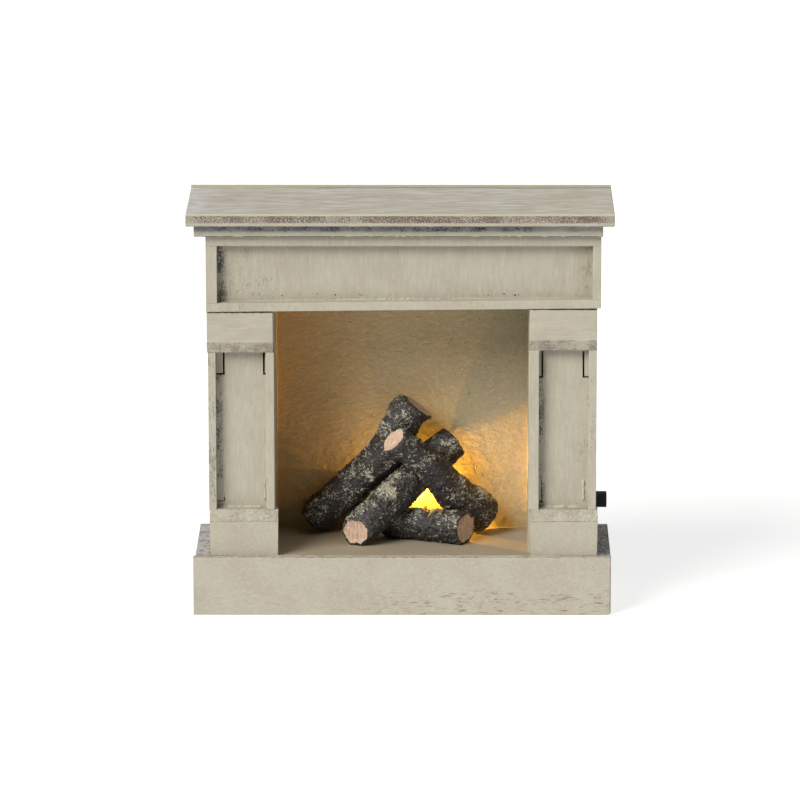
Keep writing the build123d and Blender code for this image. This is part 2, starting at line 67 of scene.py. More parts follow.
KNOB_SHEEN = 0.15
LENS_GLOW = 2.2
LAMP_COLOUR = (1.0, 0.5, 0.06)
LAMP_SIZE = 0.2 * MM
LAMP_REACH = 30 * MM

STRIP_WEAR = {"left": 0.9, "right": 0.1}
# black marks on the column panels: x, z, half width and half height in millimetres
PANEL_MARKS = {
    "left": [(-68.4, 43.0, 0.3, 0.25), (-66.7, 43.0, 0.25, 0.2)],
    "right": [(53.2, 42.1, 0.3, 0.25)],
}
BEVEL_HALF = 2.0 * MM
CAPITAL_CRUST = 4.6 * MM
PLINTH_CRUST = 4.8 * MM

TAB_GAP = 0.3 * MM
TAB_SPAN = (42.35 * MM, 51.3 * MM)
TAB_OPEN = 1.2 * MM
BUBBLE_X, BUBBLE_Z = -50.9 * MM, 51.5 * MM
BUBBLE_RING = 0.75 * MM
BUBBLE_THICK = 0.2 * MM
BUBBLE_STEPS = 28
BUBBLE_SIDES = 8
BEAD_STEP = 0.35 * MM
BEAD_SIDES = 12
CRUST_STEP = 0.4 * MM
JOIN = 1e-6

LOG_RINGS_PER_MM = 2.6
LOG_SIDES = 112
LOG_REACH = 14 * MM
SECTION_START = Vector((0.3, 1.0, 0.2))
CENTRING_ROUNDS = 4
# what each point of the bark carries: sawn wood, height in the folds, lichen
BARK_LAYERS = ("sawn", "fold", "moss")
CUT_FACING = 0.5
CUT_SHARE = 0.7
END_INSET = 0.02 * MM
# how far the bark draws in at the sawn ends, and over what length, in millimetres
END_TUCK = 0.55
END_TUCK_LENGTH = 0.35
# the sawn end, ring by ring: share of the radius, and height above the cut in millimetres
SAWN_RINGS = ((0.94, 0.04), (0.85, 0.0), (0.82, -0.12), (0.6, -0.1), (0.35, -0.1), (0.15, -0.1))
SAWN_RIM = 0.86
SAWN_DEPTH = 0.1 * MM

CAMERA_AIM_X = -0.3 * MM
CAMERA_DISTANCE = 2.2894
# azimuth, elevation and roll in degrees
CAMERA_ANGLES = (0.46, 12.86, -0.07)
CAMERA_LENS = 271.4
ROOM_COLOUR = (0.97, 0.985, 1.0, 1.0)
ROOM_GLOW = 0.1

FLOOR_HALF = 6.0
FLOOR_GLOW = 0.69
FLOOR_GAP = 0.02 * MM

# ---------- colours, as the eye reads them


def srgb(red, green, blue):
    """A colour given in everyday 0 to 255 values, as linear light with alpha."""
    out = []
    for value in (red, green, blue):
        share = value / 255
        out.append(share / 12.92 if share <= 0.04045 else ((share + 0.055) / 1.055) ** 2.4)
    return (*out, 1.0)


GREIGE = srgb(163, 158, 142)
GREIGE_DARK = srgb(145, 138, 121)
GREIGE_LIGHT = srgb(174, 169, 153)
CREAM = srgb(196, 186, 154)
# painted lamp light and shade: the fire opening's warm wall tone, and the orange tint laid over its
# left side and the hearth
LAMPLIT_WALL_TONE = srgb(162, 149, 114)
LAMP_GLOW_TINT = srgb(250, 218, 160)
WORN_BROWN = srgb(86, 73, 65)
WASH_BROWN = srgb(128, 116, 104)
# hairy dark paint in the recesses' left sides, which is also their painted shade
STAIN_AND_SHADE_DARK = srgb(74, 75, 73)
RUBBED_BROWN = srgb(140, 129, 108)
STAIN_BLUE = srgb(116, 121, 122)
SEAM_DARK = srgb(38, 34, 30)
TOP_PALE = srgb(186, 182, 170)
WORN_GREY = srgb(88, 86, 80)
WORN_BLUE = srgb(52, 58, 62)
EDGE_YELLOW = srgb(182, 172, 134)
LAVENDER = srgb(194, 193, 194)
GRAIN_BROWN = srgb(166, 159, 144)
BARK_DARK = srgb(27, 24, 24)
BARK_BROWN = srgb(52, 43, 38)
BARK_BLUE = srgb(50, 53, 61)
LICHEN = srgb(168, 163, 140)
LICHEN_GREY = srgb(120, 118, 106)
SAWN_PINK = srgb(194, 166, 144)
SAWN_DARK = srgb(164, 134, 115)
SAWN_PALE = srgb(206, 190, 174)
BARE_BOARD = srgb(190, 158, 118)
BARE_BOARD_RING = srgb(176, 142, 100)
BARE_BOARD_DARK = srgb(150, 116, 80)
# plinth bevel specks: rubbed paint and painted shade between the lumps
PLINTH_RUBBED_AND_SHADE = srgb(146, 139, 122)
HEARTH_GRIT = srgb(118, 112, 98)
WING_PALE = srgb(178, 176, 176)
WING_GREY = srgb(132, 128, 128)
# right hearth wing: rubbed paint, darkened as painted shade of the right column
WING_SHADE_BLACK = srgb(70, 70, 71)
WING_WORN_SHADED = srgb(128, 127, 125)
WING_SCRAPED = srgb(205, 203, 198)
BLACK_PLASTIC = srgb(22, 22, 23)
KNOB_BLACK = srgb(9, 9, 10)
SCUFF_GREY = srgb(96, 96, 98)
# pale knob edges: rubbed wear and painted sheen
EDGE_WEAR_AND_SHEEN = srgb(150, 150, 148)
TIN = srgb(200, 198, 192)
TIN_DULL = srgb(120, 118, 114)
WIRE_RED = srgb(160, 24, 20)
WIRE_BLACK = srgb(20, 20, 20)
SLEEVE_DARK = srgb(42, 48, 56)
SLEEVE_BRASS = srgb(196, 160, 84)
SLEEVE_SCUFF = srgb(150, 150, 150)
GLOW_DEEP = srgb(255, 196, 52)
GLOW_PALE = srgb(255, 236, 140)
FLOOR_PALE = srgb(172, 172, 172)
FLOOR_DULL = srgb(169, 169, 169)


# ---------- node helpers


class Look:
    """A material and short ways to add nodes to it; textures follow the object's coordinates."""

    def __init__(self, name):
        self.material = bpy.data.materials.new(name)
        self.material.use_nodes = True
        self.tree = self.material.node_tree
        self.tree.nodes.clear()
        self.output = self.add("ShaderNodeOutputMaterial")
        self.shader = self.add("ShaderNodeBsdfPrincipled")
        self.link(self.shader.outputs[0], self.output.inputs["Surface"])
        self.place = self.add("ShaderNodeTexCoord").outputs["Object"]

    def add(self, kind, **settings):
        """A new shader node of one kind with its settings made."""
        node = self.tree.nodes.new(kind)
        for key, value in settings.items():
            setattr(node, key, value)
        return node

    def link(self, source, target):
        self.tree.links.new(source, target)

    def feed(self, socket, value):
        """Links a socket to another node's output, or sets it to a number or colour."""
        if hasattr(value, "links"):
            self.link(value, socket)
        else:
            socket.default_value = value

    def math(self, operation, first, second=0.0, clamp=False):
        node = self.add("ShaderNodeMath", operation=operation, use_clamp=clamp)
        self.feed(node.inputs[0], first)
        self.feed(node.inputs[1], second)
        return node.outputs[0]

    def times(self, first, second):
        return self.math("MULTIPLY", first, second)

    def plus(self, first, second, clamp=False):
        return self.math("ADD", first, second, clamp)

    def inverse(self, value):
        return self.math("SUBTRACT", 1.0, value)

    def stretched(self, stretch, shift):
        node = self.add("ShaderNodeMapping")
        self.link(self.place, node.inputs["Vector"])
        node.inputs["Scale"].default_value = stretch
        node.inputs["Location"].default_value = shift
        return node.outputs[0]

    def noise(self, size_mm, detail, rough=0.55, stretch=(1, 1, 1), shift=(0, 0, 0), twist=0.0):
        """Soft random values in spots about size_mm across, longer where stretch is below 1."""
        node = self.add("ShaderNodeTexNoise")
        self.link(self.stretched(stretch, shift), node.inputs["Vector"])
        node.inputs["Scale"].default_value = 1 / (size_mm * MM)
        node.inputs["Detail"].default_value = detail
        node.inputs["Roughness"].default_value = rough
        node.inputs["Distortion"].default_value = twist
        return node.outputs["Fac"]

    def ramp(self, value, low, high, start=0.0, end=1.0):
        """Turns low..high into start..end smoothly and holds it there."""
        node = self.add("ShaderNodeMapRange", interpolation_type="SMOOTHSTEP", clamp=True)
        self.feed(node.inputs["Value"], value)
        node.inputs["From Min"].default_value = low
        node.inputs["From Max"].default_value = high
        node.inputs["To Min"].default_value = start
        node.inputs["To Max"].default_value = end
        return node.outputs[0]

    def mix(self, share, first, second, blend="MIX"):
        """Two colours mixed: the first where share is 0, the second where it is 1."""
        node = self.add("ShaderNodeMix", data_type="RGBA", blend_type=blend)
        self.feed(node.inputs["Factor"], share)
        self.feed(node.inputs[6], first)
        self.feed(node.inputs[7], second)
        return node.outputs[2]

    def axis(self, name):
        node = self.add("ShaderNodeSeparateXYZ")
        self.link(self.place, node.inputs[0])
        return node.outputs[name]

    def facing(self, name):
        """How much the surface faces along an axis of the object, from -1 to 1."""
        geometry = self.add("ShaderNodeNewGeometry")
        node = self.add("ShaderNodeSeparateXYZ")
        self.link(geometry.outputs["True Normal"], node.inputs[0])
        return node.outputs[name]

    def layer(self, name):
        """The values that a mesh's points carry under a name."""
        return self.add("ShaderNodeAttribute", attribute_name=name).outputs["Fac"]

    def turned(self, axis, side):
        """1 on faces turned towards the plus (1) or minus (-1) side of an axis."""
        return self.ramp(self.facing(axis), 0.6 * side, 0.9 * side)

    def band(self, axis, middle, half, soft):
        """1 within half of middle along an axis, fading out over soft."""
        away = self.math("ABSOLUTE", self.math("SUBTRACT", self.axis(axis), middle))
        return self.ramp(away, half, half + soft, 1.0, 0.0)

    def edges(self, radius_mm):
        """1 at sharp outer or inner edges, 0 on flat faces."""
        bevel = self.add("ShaderNodeBevel", samples=4)
        bevel.inputs["Radius"].default_value = radius_mm * MM
        geometry = self.add("ShaderNodeNewGeometry")
        dot = self.add("ShaderNodeVectorMath", operation="DOT_PRODUCT")
        self.link(bevel.outputs[0], dot.inputs[0])
        self.link(geometry.outputs["Normal"], dot.inputs[1])
        return self.ramp(dot.outputs["Value"], 0.995, 0.88)

    def bump(self, height, depth_mm, strength):
        """Raises the surface by height times depth_mm; calls stack up."""
        node = self.add("ShaderNodeBump")
        node.inputs["Strength"].default_value = strength
        node.inputs["Distance"].default_value = depth_mm * MM
        self.feed(node.inputs["Height"], height)
        if self.shader.inputs["Normal"].is_linked:
            self.link(self.shader.inputs["Normal"].links[0].from_socket, node.inputs["Normal"])
        self.link(node.outputs[0], self.shader.inputs["Normal"])

    def finish(self, colour, roughness, metallic=0.0):
        """Sets the shader's main inputs and returns the material."""
        self.feed(self.shader.inputs["Base Color"], colour)
        self.feed(self.shader.inputs["Roughness"], roughness)
        self.shader.inputs["Metallic"].default_value = metallic
        return self.material


# ---------- materials


def paint_base(look, brush, tone, lumps, seed):
    """Matt paint: soft patches, fine grain and brush marks; returns its colour."""
    shift = (seed, seed * 1.7, seed * 0.6)
    patches = look.ramp(look.noise(14, 2, shift=shift), 0.35, 0.7)
    colour = look.mix(look.times(patches, 0.35), tone, GREIGE_DARK)
    strokes = look.noise(0.8, 3, 0.65, brush, shift)
    colour = look.mix(look.ramp(strokes, 0.5, 0.68, 0.0, 0.5), colour, GREIGE_LIGHT)
    colour = look.mix(look.ramp(strokes, 0.45, 0.3, 0.0, 0.35), colour, GREIGE_DARK)
    grain = look.noise(0.32, 2, 0.7, shift=shift)
    colour = look.mix(look.ramp(grain, 0.56, 0.75, 0.0, 0.28), colour, GREIGE_DARK)
    specks = look.noise(0.55, 1, 0.5, (1, 1, 0.6), (seed + 0.3, 0, 0))
    colour = look.mix(look.ramp(specks, 0.735, 0.78, 0.0, 0.4), colour, WORN_GREY)
    look.bump(strokes, 0.09 * lumps, 0.8)
    look.bump(look.noise(3.2, 2, 0.5, shift=shift), 0.12 * lumps, 0.5)
    look.bump(grain, 0.02, 0.5)
    return colour


def worn_edges(look, colour):
    """A yellow-brown line where the paint is thin over an edge, broken up by noise."""
    patchy = look.ramp(look.noise(2.6, 3), 0.42, 0.62)
    share = look.times(look.times(look.edges(0.35), patchy), 0.55)
    return look.mix(share, colour, EDGE_YELLOW)


def rubbed(look, colour, where, under, size_mm, stretch, amount, patch_mm, shift):
    """Paint rubbed through in specks inside where, denser in some patches; returns the colour."""
    specks = look.noise(size_mm, 4, 0.72, stretch, (shift, shift, shift), 0.4)
    patches = look.noise(patch_mm, 2, 0.5, shift=(shift + 1, 0, 0))
    dense = look.plus(specks, look.ramp(patches, 0.3, 0.7, -0.09, 0.09))
    through = look.ramp(dense, 0.58 - 0.16 * amount, 0.66 - 0.16 * amount)
    share = look.times(through, where)
    look.bump(look.inverse(share), 0.06, 0.7)
    return look.mix(share, colour, under)


def scratched(look, colour, where, seed, amount):
    """Fine dark upright scratches inside where; returns the colour."""
    lines = look.noise(0.28, 3, 0.7, (1, 1, 0.2), (seed, 2, 0), 0.3)
    patches = look.ramp(look.noise(7, 3, 0.6, (1, 1, 0.5), (seed, 4, 0)), 0.42, 0.62, -0.06, 0.05)
    cut = look.ramp(look.plus(lines, patches), 0.64 - 0.08 * amount, 0.68 - 0.08 * amount)
    share = look.times(look.times(cut, where), 0.75)
    look.bump(look.inverse(share), 0.05, 0.7)
    return look.mix(share, colour, WORN_GREY)


def painted(name, brush, lumps, seed, wear=None, amount=0.0):
    """The plain painted board; wear is the (middle, half, soft) span along X that is scratched."""
    look = Look(name)
    colour = worn_edges(look, paint_base(look, brush, GREIGE, lumps, seed))
    if wear:
        colour = scratched(look, colour, look.band("X", *wear), seed, amount)
    return look.finish(colour, look.ramp(look.noise(2.0, 2), 0.3, 0.7, 0.62, 0.8))


def dried_paint():
    """Lumps and ridges of dried paint, a little paler than the boards."""
    look = Look("bead_paint")
    colour = paint_base(look, (1, 1, 1), GREIGE, 1.6, 11.0)
    colour = look.mix(look.ramp(look.noise(1.2, 2), 0.4, 0.6, 0.2, 0.6), colour, GREIGE_LIGHT)
    return look.finish(colour, 0.66)


def painted_column_panel(name, seed, outer_x, left_edge, marks):
    """Column panel: brushed upright, hairy dark paint down its left side that also paints the recess's
    shade there, a few black marks.
    """
    look = Look(name)
    colour = worn_edges(look, paint_base(look, UPRIGHT, GREIGE, 1.2, seed))
    colour = scratched(look, colour, look.band("X", outer_x, 3 * MM, 4 * MM), seed, 0.3)
    # hairy dark paint down the recess's left side, also painted shade where the strip shades the panel
    hairy = look.band("X", left_edge, 0.7 * MM, 2.6 * MM)
    colour = rubbed(look, colour, hairy, STAIN_AND_SHADE_DARK, 0.6, (1, 1, 0.6), 0.48, 6.0, seed + 0.5)
    for x, z, half_x, half_z in marks:
        spot = look.band("X", x * MM, half_x * MM, 0.3 * MM)
        spot = look.times(spot, look.band("Z", z * MM, half_z * MM, 0.25 * MM))
        colour = look.mix(look.times(spot, 0.9), colour, SEAM_DARK)
    return look.finish(colour, 0.72)


def painted_frieze():
    """Frieze panel: brushed upright, hairy dark paint at the left that also paints the recess's shade
    there, rubbed brown at the right.
    """
    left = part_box("frieze_left_strip")[1].x
    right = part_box("frieze_right_strip")[0].x
    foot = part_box("frieze_low_strip")[1].z
    look = Look("frieze_panel_paint")
    colour = paint_base(look, UPRIGHT, GREIGE, 1.5, 1.0)
    colour = scratched(look, colour, look.band("X", left, 14 * MM, 32 * MM), 1.0, 0.15)
    # hairy dark paint down the recess's left side, also painted shade where the strip shades the panel
    hairy = look.band("X", left, 1.2 * MM, 3.2 * MM)
    colour = rubbed(look, colour, hairy, STAIN_AND_SHADE_DARK, 0.6, (1, 1, 0.6), 0.6, 6.0, 3.5)
    worn_end = look.band("X", right, 1.5 * MM, 6.5 * MM)
    colour = look.mix(look.times(worn_end, 0.25), colour, RUBBED_BROWN)
    colour = rubbed(look, colour, worn_end, RUBBED_BROWN, 0.8, (1, 1, 0.5), 0.5, 6.0, 4.5)
    low_down = look.band("Z", foot + 1.1 * MM, 0.4 * MM, 0.3 * MM)
    holes = look.ramp(look.noise(0.9, 1, 0.5, shift=(4, 4, 0)), 0.67, 0.7)
    colour = look.mix(look.times(holes, low_down), colour, SEAM_DARK)
    return look.finish(colour, 0.72)


def painted_bevel(name, middle, under, joint_and_shade_lines, brush, seed, amount, lumps=1.0):
    """Painted block, rubbed through over one bevel, with dark lines at the heights in
    joint_and_shade_lines: joints, and painted shade under an overhang.
    """
    look = Look(name)
    colour = worn_edges(look, paint_base(look, brush, GREIGE, lumps, seed))
    sloped = look.band("Z", middle, BEVEL_HALF, 0.5 * MM)
    colour = rubbed(look, colour, sloped, under, 0.6, (0.7, 1, 1), amount, 7.0, seed)
    rough = look.times(look.noise(1.4, 3, 0.6, (1, 1, 1), (seed, 0, 0), 0.6), sloped)
    look.bump(rough, 0.55 * lumps, 0.8)
    for height in joint_and_shade_lines:
        colour = seam(look, colour, height, 0.09 * MM, 0.54, 0.7)
    return look.finish(colour, 0.72)


def seam(look, colour, height, half, broken, depth=0.85):
    """A thin dark joint line at a height, broken where paint bridges it; returns the colour."""
    line = look.band("Z", height, half, half)
    gaps = look.ramp(look.noise(2.2, 3, 0.6, shift=(7, 0, 0)), broken - 0.06, broken + 0.02)
    share = look.times(look.times(line, gaps), depth)
    return look.mix(share, colour, SEAM_DARK)


def shelf_top(look, low, high, streaks):
    """Limed grain, bare at the left end, with a dark joint behind and a paler rim in front."""
    long_streaks = look.noise(2.6, 2, 0.6, (0.1, 1, 1), (0.3, 0.1, 0))
    broad = look.noise(12, 2, 0.6, (0.5, 1, 1), (0.72, 0, 0))
    colour = look.mix(look.ramp(streaks, 0.42, 0.58), GRAIN_BROWN, TOP_PALE)
    colour = look.mix(look.ramp(long_streaks, 0.5, 0.66, 0.0, 0.45), colour, GRAIN_BROWN)
    thick = look.times(look.ramp(broad, 0.42, 0.6, 0.15, 1.0), look.ramp(long_streaks, 0.56, 0.4))
    limed = look.times(thick, look.ramp(streaks, 0.38, 0.56, 0.1, 0.75))
    colour = look.mix(limed, colour, LAVENDER)
    bare_end = look.ramp(look.plus(look.axis("X"), look.times(broad, 12 * MM)), -62 * MM, -74 * MM)
    colour = look.mix(look.times(bare_end, look.ramp(streaks, 0.4, 0.52)), colour, LAVENDER)
    joint = look.band("Y", high.y - 0.4 * MM, 0.8 * MM, 0.4 * MM)
    open_joint = look.times(joint, look.ramp(look.axis("X"), -44 * MM, -26 * MM, 0.15, 0.7))
    colour = look.mix(open_joint, colour, SEAM_DARK)
    behind_rim = look.math("SUBTRACT", look.axis("Y"), low.y)
    near_front = look.ramp(behind_rim, 0.5 * MM, 3.0 * MM, 0.75, 0.0)
    return look.mix(near_front, colour, GREIGE_LIGHT)


def shelf_edge(look, colour, high):
    """Worn brown band along the front edge; returns the new colour and where paint is rubbed off."""
    front = look.turned("Y", -1)
    ends = look.ramp(look.math("ABSOLUTE", look.axis("X")), 72 * MM, 79 * MM, 0.0, -0.12)
    core = look.times(front, look.band("Z", high.z - 2.05 * MM, 1.05 * MM, 0.55 * MM))
    wash = look.ramp(look.noise(16, 2, 0.5, shift=(0.4, 0, 0)), 0.35, 0.6, 0.1, 0.45)
    colour = look.mix(look.times(core, wash), colour, WASH_BROWN)
    specks = look.plus(look.noise(0.4, 2, 0.62, (0.75, 1, 1), (0.5, 0, 0), 0.5), ends)
    patches = look.ramp(look.noise(13, 2, 0.5, shift=(1.4, 0, 0)), 0.35, 0.62, -0.035, 0.055)
    through = look.ramp(look.plus(specks, patches), 0.47, 0.52)
    colour = look.mix(look.times(through, core), colour, WORN_BROWN)
    rim = look.times(front, look.ramp(look.axis("Z"), high.z - 0.9 * MM, high.z - 0.4 * MM))
    return look.mix(look.times(rim, 0.5), colour, EDGE_YELLOW), through


def painted_shelf():
    """Shelf: worn brown band along the front edge, limed grain along the top."""
    low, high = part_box("shelf_board")
    look = Look("shelf_paint")
    colour = paint_base(look, (0.12, 1, 1), GREIGE, 0.8, 2.0)
    streaks = look.noise(0.9, 3, 0.65, (0.11, 1, 1), (0, 0.4, 0))
    colour = look.mix(look.turned("Z", 1), colour, shelf_top(look, low, high, streaks))
    colour, through = shelf_edge(look, colour, high)
    colour = worn_edges(look, colour)
    colour = seam(look, colour, low.z, 0.12 * MM, 0.44)
    look.bump(streaks, 0.05, 0.7)
    look.bump(through, 0.04, 0.5)
    return look.finish(colour, look.ramp(streaks, 0.3, 0.7, 0.6, 0.78))


def painted_moulding():
    """Moulding board: blue-grey stain and black specks over the upper part of its front edge."""
    low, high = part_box("moulding_board")
    look = Look("moulding_paint")
    colour = paint_base(look, (0.3, 1, 1), GREIGE, 0.9, 4.0)
    front = look.turned("Y", -1)
    clean_end = look.ramp(look.axis("X"), 45 * MM, 62 * MM, 1.0, 0.35)
    fade = look.ramp(look.axis("Z"), low.z + 1.3 * MM, low.z + 2.7 * MM)
    head = look.ramp(look.axis("Z"), high.z - 0.9 * MM, high.z - 0.4 * MM, 1.0, 0.35)
    core = look.times(look.times(front, fade), look.times(clean_end, head))
    smear = look.ramp(look.noise(7, 3, 0.6, (0.5, 1, 1)), 0.25, 0.6, 0.4, 0.9)
    colour = look.mix(look.times(core, smear), colour, STAIN_BLUE)
    colour = rubbed(look, colour, core, WORN_BLUE, 0.34, (0.6, 1, 1), 0.42, 6.0, 1.5)
    ink = look.times(look.ramp(look.noise(0.6, 2, 0.6, (0.5, 1, 1), (9, 0, 0)), 0.64, 0.68), core)
    colour = look.mix(ink, colour, SEAM_DARK)
    foot = look.times(front, look.ramp(look.axis("Z"), low.z + 0.9 * MM, low.z + 0.3 * MM))
    colour = look.mix(look.times(foot, 0.4), colour, EDGE_YELLOW)
    colour = worn_edges(look, colour)
    colour = seam(look, colour, high.z, 0.2 * MM, 0.4)
    colour = seam(look, colour, low.z, 0.2 * MM, 0.44)
    return look.finish(colour, 0.7)


def painted_base_board():
    """Base front: fine dark cracks low on the right, its right end face and a broken line down its
    right edge painted dark grey, otherwise even paint.
    """
    low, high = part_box("base_front")
    look = Look("base_front_paint")
    colour = paint_base(look, (0.5, 1, 0.8), GREIGE, 0.7, 6.0)
    cracks = look.noise(0.8, 4, 0.75, (0.2, 1, 1), (0.2, 0, 0))
    low_down = look.ramp(look.axis("Z"), low.z + 7 * MM, low.z + 12 * MM, 1.0, 0.0)
    rightwards = look.ramp(look.axis("X"), -30 * MM, 20 * MM, 0.25, 1.0)
    where = look.times(low_down, rightwards)
    thin = look.ramp(cracks, 0.58, 0.61)
    share = look.times(look.times(where, thin), 0.6)
    colour = look.mix(share, colour, WORN_BROWN)
    # the right end face and a broken line down the right edge are painted dark grey
    edge_gaps = look.ramp(look.noise(1.6, 3, 0.6, (1, 1, 0.5), (3, 0, 0)), 0.36, 0.44)
    edge = look.times(look.band("X", high.x, 0.3 * MM, 0.2 * MM), edge_gaps)
    colour = look.mix(look.times(edge, 0.75), colour, WORN_GREY)
    end_dark = look.turned("X", 1)
    colour = rubbed(look, colour, end_dark, WORN_GREY, 0.8, (1, 1, 1), 0.45, 8.0, 2.5)
    colour = worn_edges(look, colour)
    colour = seam(look, colour, high.z, 0.12 * MM, 0.58, 0.35)
    look.bump(look.inverse(share), 0.05, 0.6)
    return look.finish(colour, 0.7)


def painted_hearth():
    """Hearth board: pale worn wing on the left; dark wing on the right, rubbed paint with painted
    shade of the right column; grey grit between, under a warm tint of painted lamp light.
    """
    left_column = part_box("left_outer_wall")[0].x
    right_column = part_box("right_outer_wall")[1].x
    look = Look("hearth_paint")
    colour = paint_base(look, (1, 1, 1), GREIGE, 1.2, 8.0)
    grit = look.noise(0.5, 3, 0.8, shift=(4, 0, 0))
    colour = look.mix(look.ramp(grit, 0.45, 0.7, 0.35, 0.8), colour, HEARTH_GRIT)
    left_wing = look.ramp(look.axis("X"), left_column - 0.6 * MM, left_column, 1.0, 0.0)
    right_wing = look.ramp(look.axis("X"), right_column, right_column + 0.6 * MM)
    mottle = look.noise(2.2, 4, 0.7, (1, 0.7, 1), (2, 0, 0))
    pale = look.mix(look.ramp(mottle, 0.45, 0.62), WING_PALE, WING_GREY)
    scrapes = look.noise(0.7, 3, 0.7, (0.5, 1, 1), (6, 0, 0), 1.5)
    # the right wing: rubbed paint, darkened as painted shade of the right column
    dark = look.mix(look.ramp(mottle, 0.42, 0.6), WING_SHADE_BLACK, WING_WORN_SHADED)
    dark = look.mix(look.ramp(scrapes, 0.5, 0.6, 0.0, 0.7), dark, WING_SCRAPED)
    # painted lamp light: a warm tint over the hearth between the wings
    colour = look.mix(0.3, colour, LAMP_GLOW_TINT, "MULTIPLY")
    colour = look.mix(left_wing, colour, pale)
    colour = look.mix(right_wing, colour, dark)
    return look.finish(colour, 0.78)


def painted_fire_wall(name, brush, seed, lamp_tint=0.85):
    """Inside of the fire opening: rough paint with brush ridges and grit, in a warm tone of painted
    lamp light and shade.
    """
    look = Look(name)
    colour = paint_base(look, brush, LAMPLIT_WALL_TONE, 1.0, seed)
    # painted lamp glow and shade: the warm tint grows stronger towards the opening's left side
    glow_to_left = look.ramp(look.axis("X"), -48 * MM, 4 * MM, lamp_tint, 0.0)
    colour = look.mix(glow_to_left, colour, LAMP_GLOW_TINT, "MULTIPLY")
    outside = look.ramp(look.math("ABSOLUTE", look.axis("X")), 52 * MM, 53 * MM)
    colour = look.mix(outside, colour, GREIGE)
    ridges = look.noise(1.5, 4, 0.6, brush, (seed, 1, 2), 0.4)
    swells = look.noise(4.5, 2, 0.5, shift=(seed, 2, 0))
    crumbs = look.ramp(look.noise(1.1, 1, 0.5, shift=(seed, 5, 0)), 0.68, 0.8)
    look.bump(swells, 0.3, 0.8)
    look.bump(ridges, 0.3, 0.9)
    look.bump(crumbs, 0.3, 0.9)
    return look.finish(colour, look.ramp(ridges, 0.3, 0.7, 0.62, 0.78))


def bare_back():
    """Back panel: bare thin board behind, with the front's paint on its edges and its upper lip."""
    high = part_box("back_panel")[1]
    look = Look("back_bare_board")
    paint = paint_base(look, (0.3, 1, 1), GREIGE, 0.8, 12.0)
    fibres = look.noise(0.5, 5, 0.7, (1, 1, 0.05), (0, 3, 0))
    rings = look.noise(7.5, 3, 0.55, (1, 1, 0.09), (5, 0, 0), 0.6)
    wood = look.mix(look.ramp(rings, 0.4, 0.6), BARE_BOARD, BARE_BOARD_RING)
    wood = look.mix(look.ramp(fibres, 0.55, 0.75, 0.0, 0.7), wood, BARE_BOARD_DARK)
    smears = look.ramp(look.noise(6, 3, 0.6, (1, 1, 0.6)), 0.62, 0.7)
    wood = look.mix(look.times(smears, 0.35), wood, GREIGE_DARK)
    lip = look.ramp(look.axis("Z"), high.z - 0.6 * MM, high.z - 0.45 * MM, 0.0, 0.45)
    paint = look.mix(lip, paint, CREAM)
    behind = look.turned("Y", 1)
    colour = look.mix(behind, paint, wood)
    look.bump(fibres, 0.04, 0.6)
    return look.finish(colour, 0.74)


def bark():
    """Rough dark bark crusted with pale lichen; sawn wood is pale pink with darker streaks."""
    look = Look("log_bark_rough")
    sawn, fold, moss = (look.layer(name) for name in BARK_LAYERS)
    crust = look.noise(1.5, 3, 0.62, (1, 1, 1), (0, 0, 0), 2.6)
    patches = look.noise(6.0, 3, 0.6, shift=(3, 0, 0))
    colour = look.mix(look.ramp(crust, 0.4, 0.65), BARK_DARK, BARK_BROWN)
    cool = look.ramp(look.noise(3.5, 2, 0.5, shift=(6, 0, 0)), 0.52, 0.66, 0.0, 0.4)
    colour = look.mix(cool, colour, BARK_BLUE)
    spread = look.plus(crust, look.ramp(patches, 0.3, 0.7, -0.12, 0.06))
    raised = look.plus(spread, look.ramp(fold, 0.25, 0.8, -0.05, 0.045))
    above = look.plus(raised, look.ramp(look.facing("Z"), -0.7, 0.4, -0.12, 0.0))
    grown = look.plus(above, look.times(moss, 0.11))
    colour = look.mix(look.ramp(grown, 0.52, 0.545, 0.0, 0.6), colour, LICHEN_GREY)
    colour = look.mix(look.ramp(grown, 0.56, 0.585), colour, LICHEN)
    fine = look.noise(0.6, 2, 0.6, (1, 1, 1), (1, 1, 1), 0.6)
    colour = look.mix(look.ramp(fine, 0.55, 0.62, 0.0, 0.85), colour, BARK_DARK)
    streaks = look.noise(0.8, 4, 0.65, (1, 1, 0.25), (8, 0, 0), 0.5)
    wood = look.mix(look.ramp(streaks, 0.42, 0.68), SAWN_PINK, SAWN_DARK)
    chips = look.ramp(look.noise(1.6, 2, 0.5, shift=(9, 0, 0)), 0.6, 0.66, 0.0, 0.7)
    wood = look.mix(chips, wood, SAWN_PALE)
    colour = look.mix(look.ramp(sawn, 0.45, 0.6), colour, wood)
    look.bump(crust, 0.4, 0.8)
    look.bump(fine, 0.1, 0.8)
    return look.finish(colour, look.ramp(sawn, 0.4, 0.6, 0.55, 0.8))


def moulded(name, colour, roughness, rim=0.0):
    """Moulded plastic with a fine grain, faint scuffs and edges turned pale by as much as rim, as
    rubbed wear and painted sheen.
    """
    look = Look(name)
    scuffs = look.noise(3.0, 4, 0.7, (0.3, 1, 1))
    tint = look.mix(look.ramp(scuffs, 0.55, 0.72, 0.0, 0.25), colour, SCUFF_GREY)
    # pale edges: rubbed wear and a painted sheen on the knob's edges
    if rim:
        tint = look.mix(look.times(look.edges(0.3), rim), tint, EDGE_WEAR_AND_SHEEN)
    look.bump(look.noise(0.25, 2), 0.01, 0.6)
    return look.finish(tint, look.ramp(scuffs, 0.3, 0.7, roughness, roughness + 0.15))


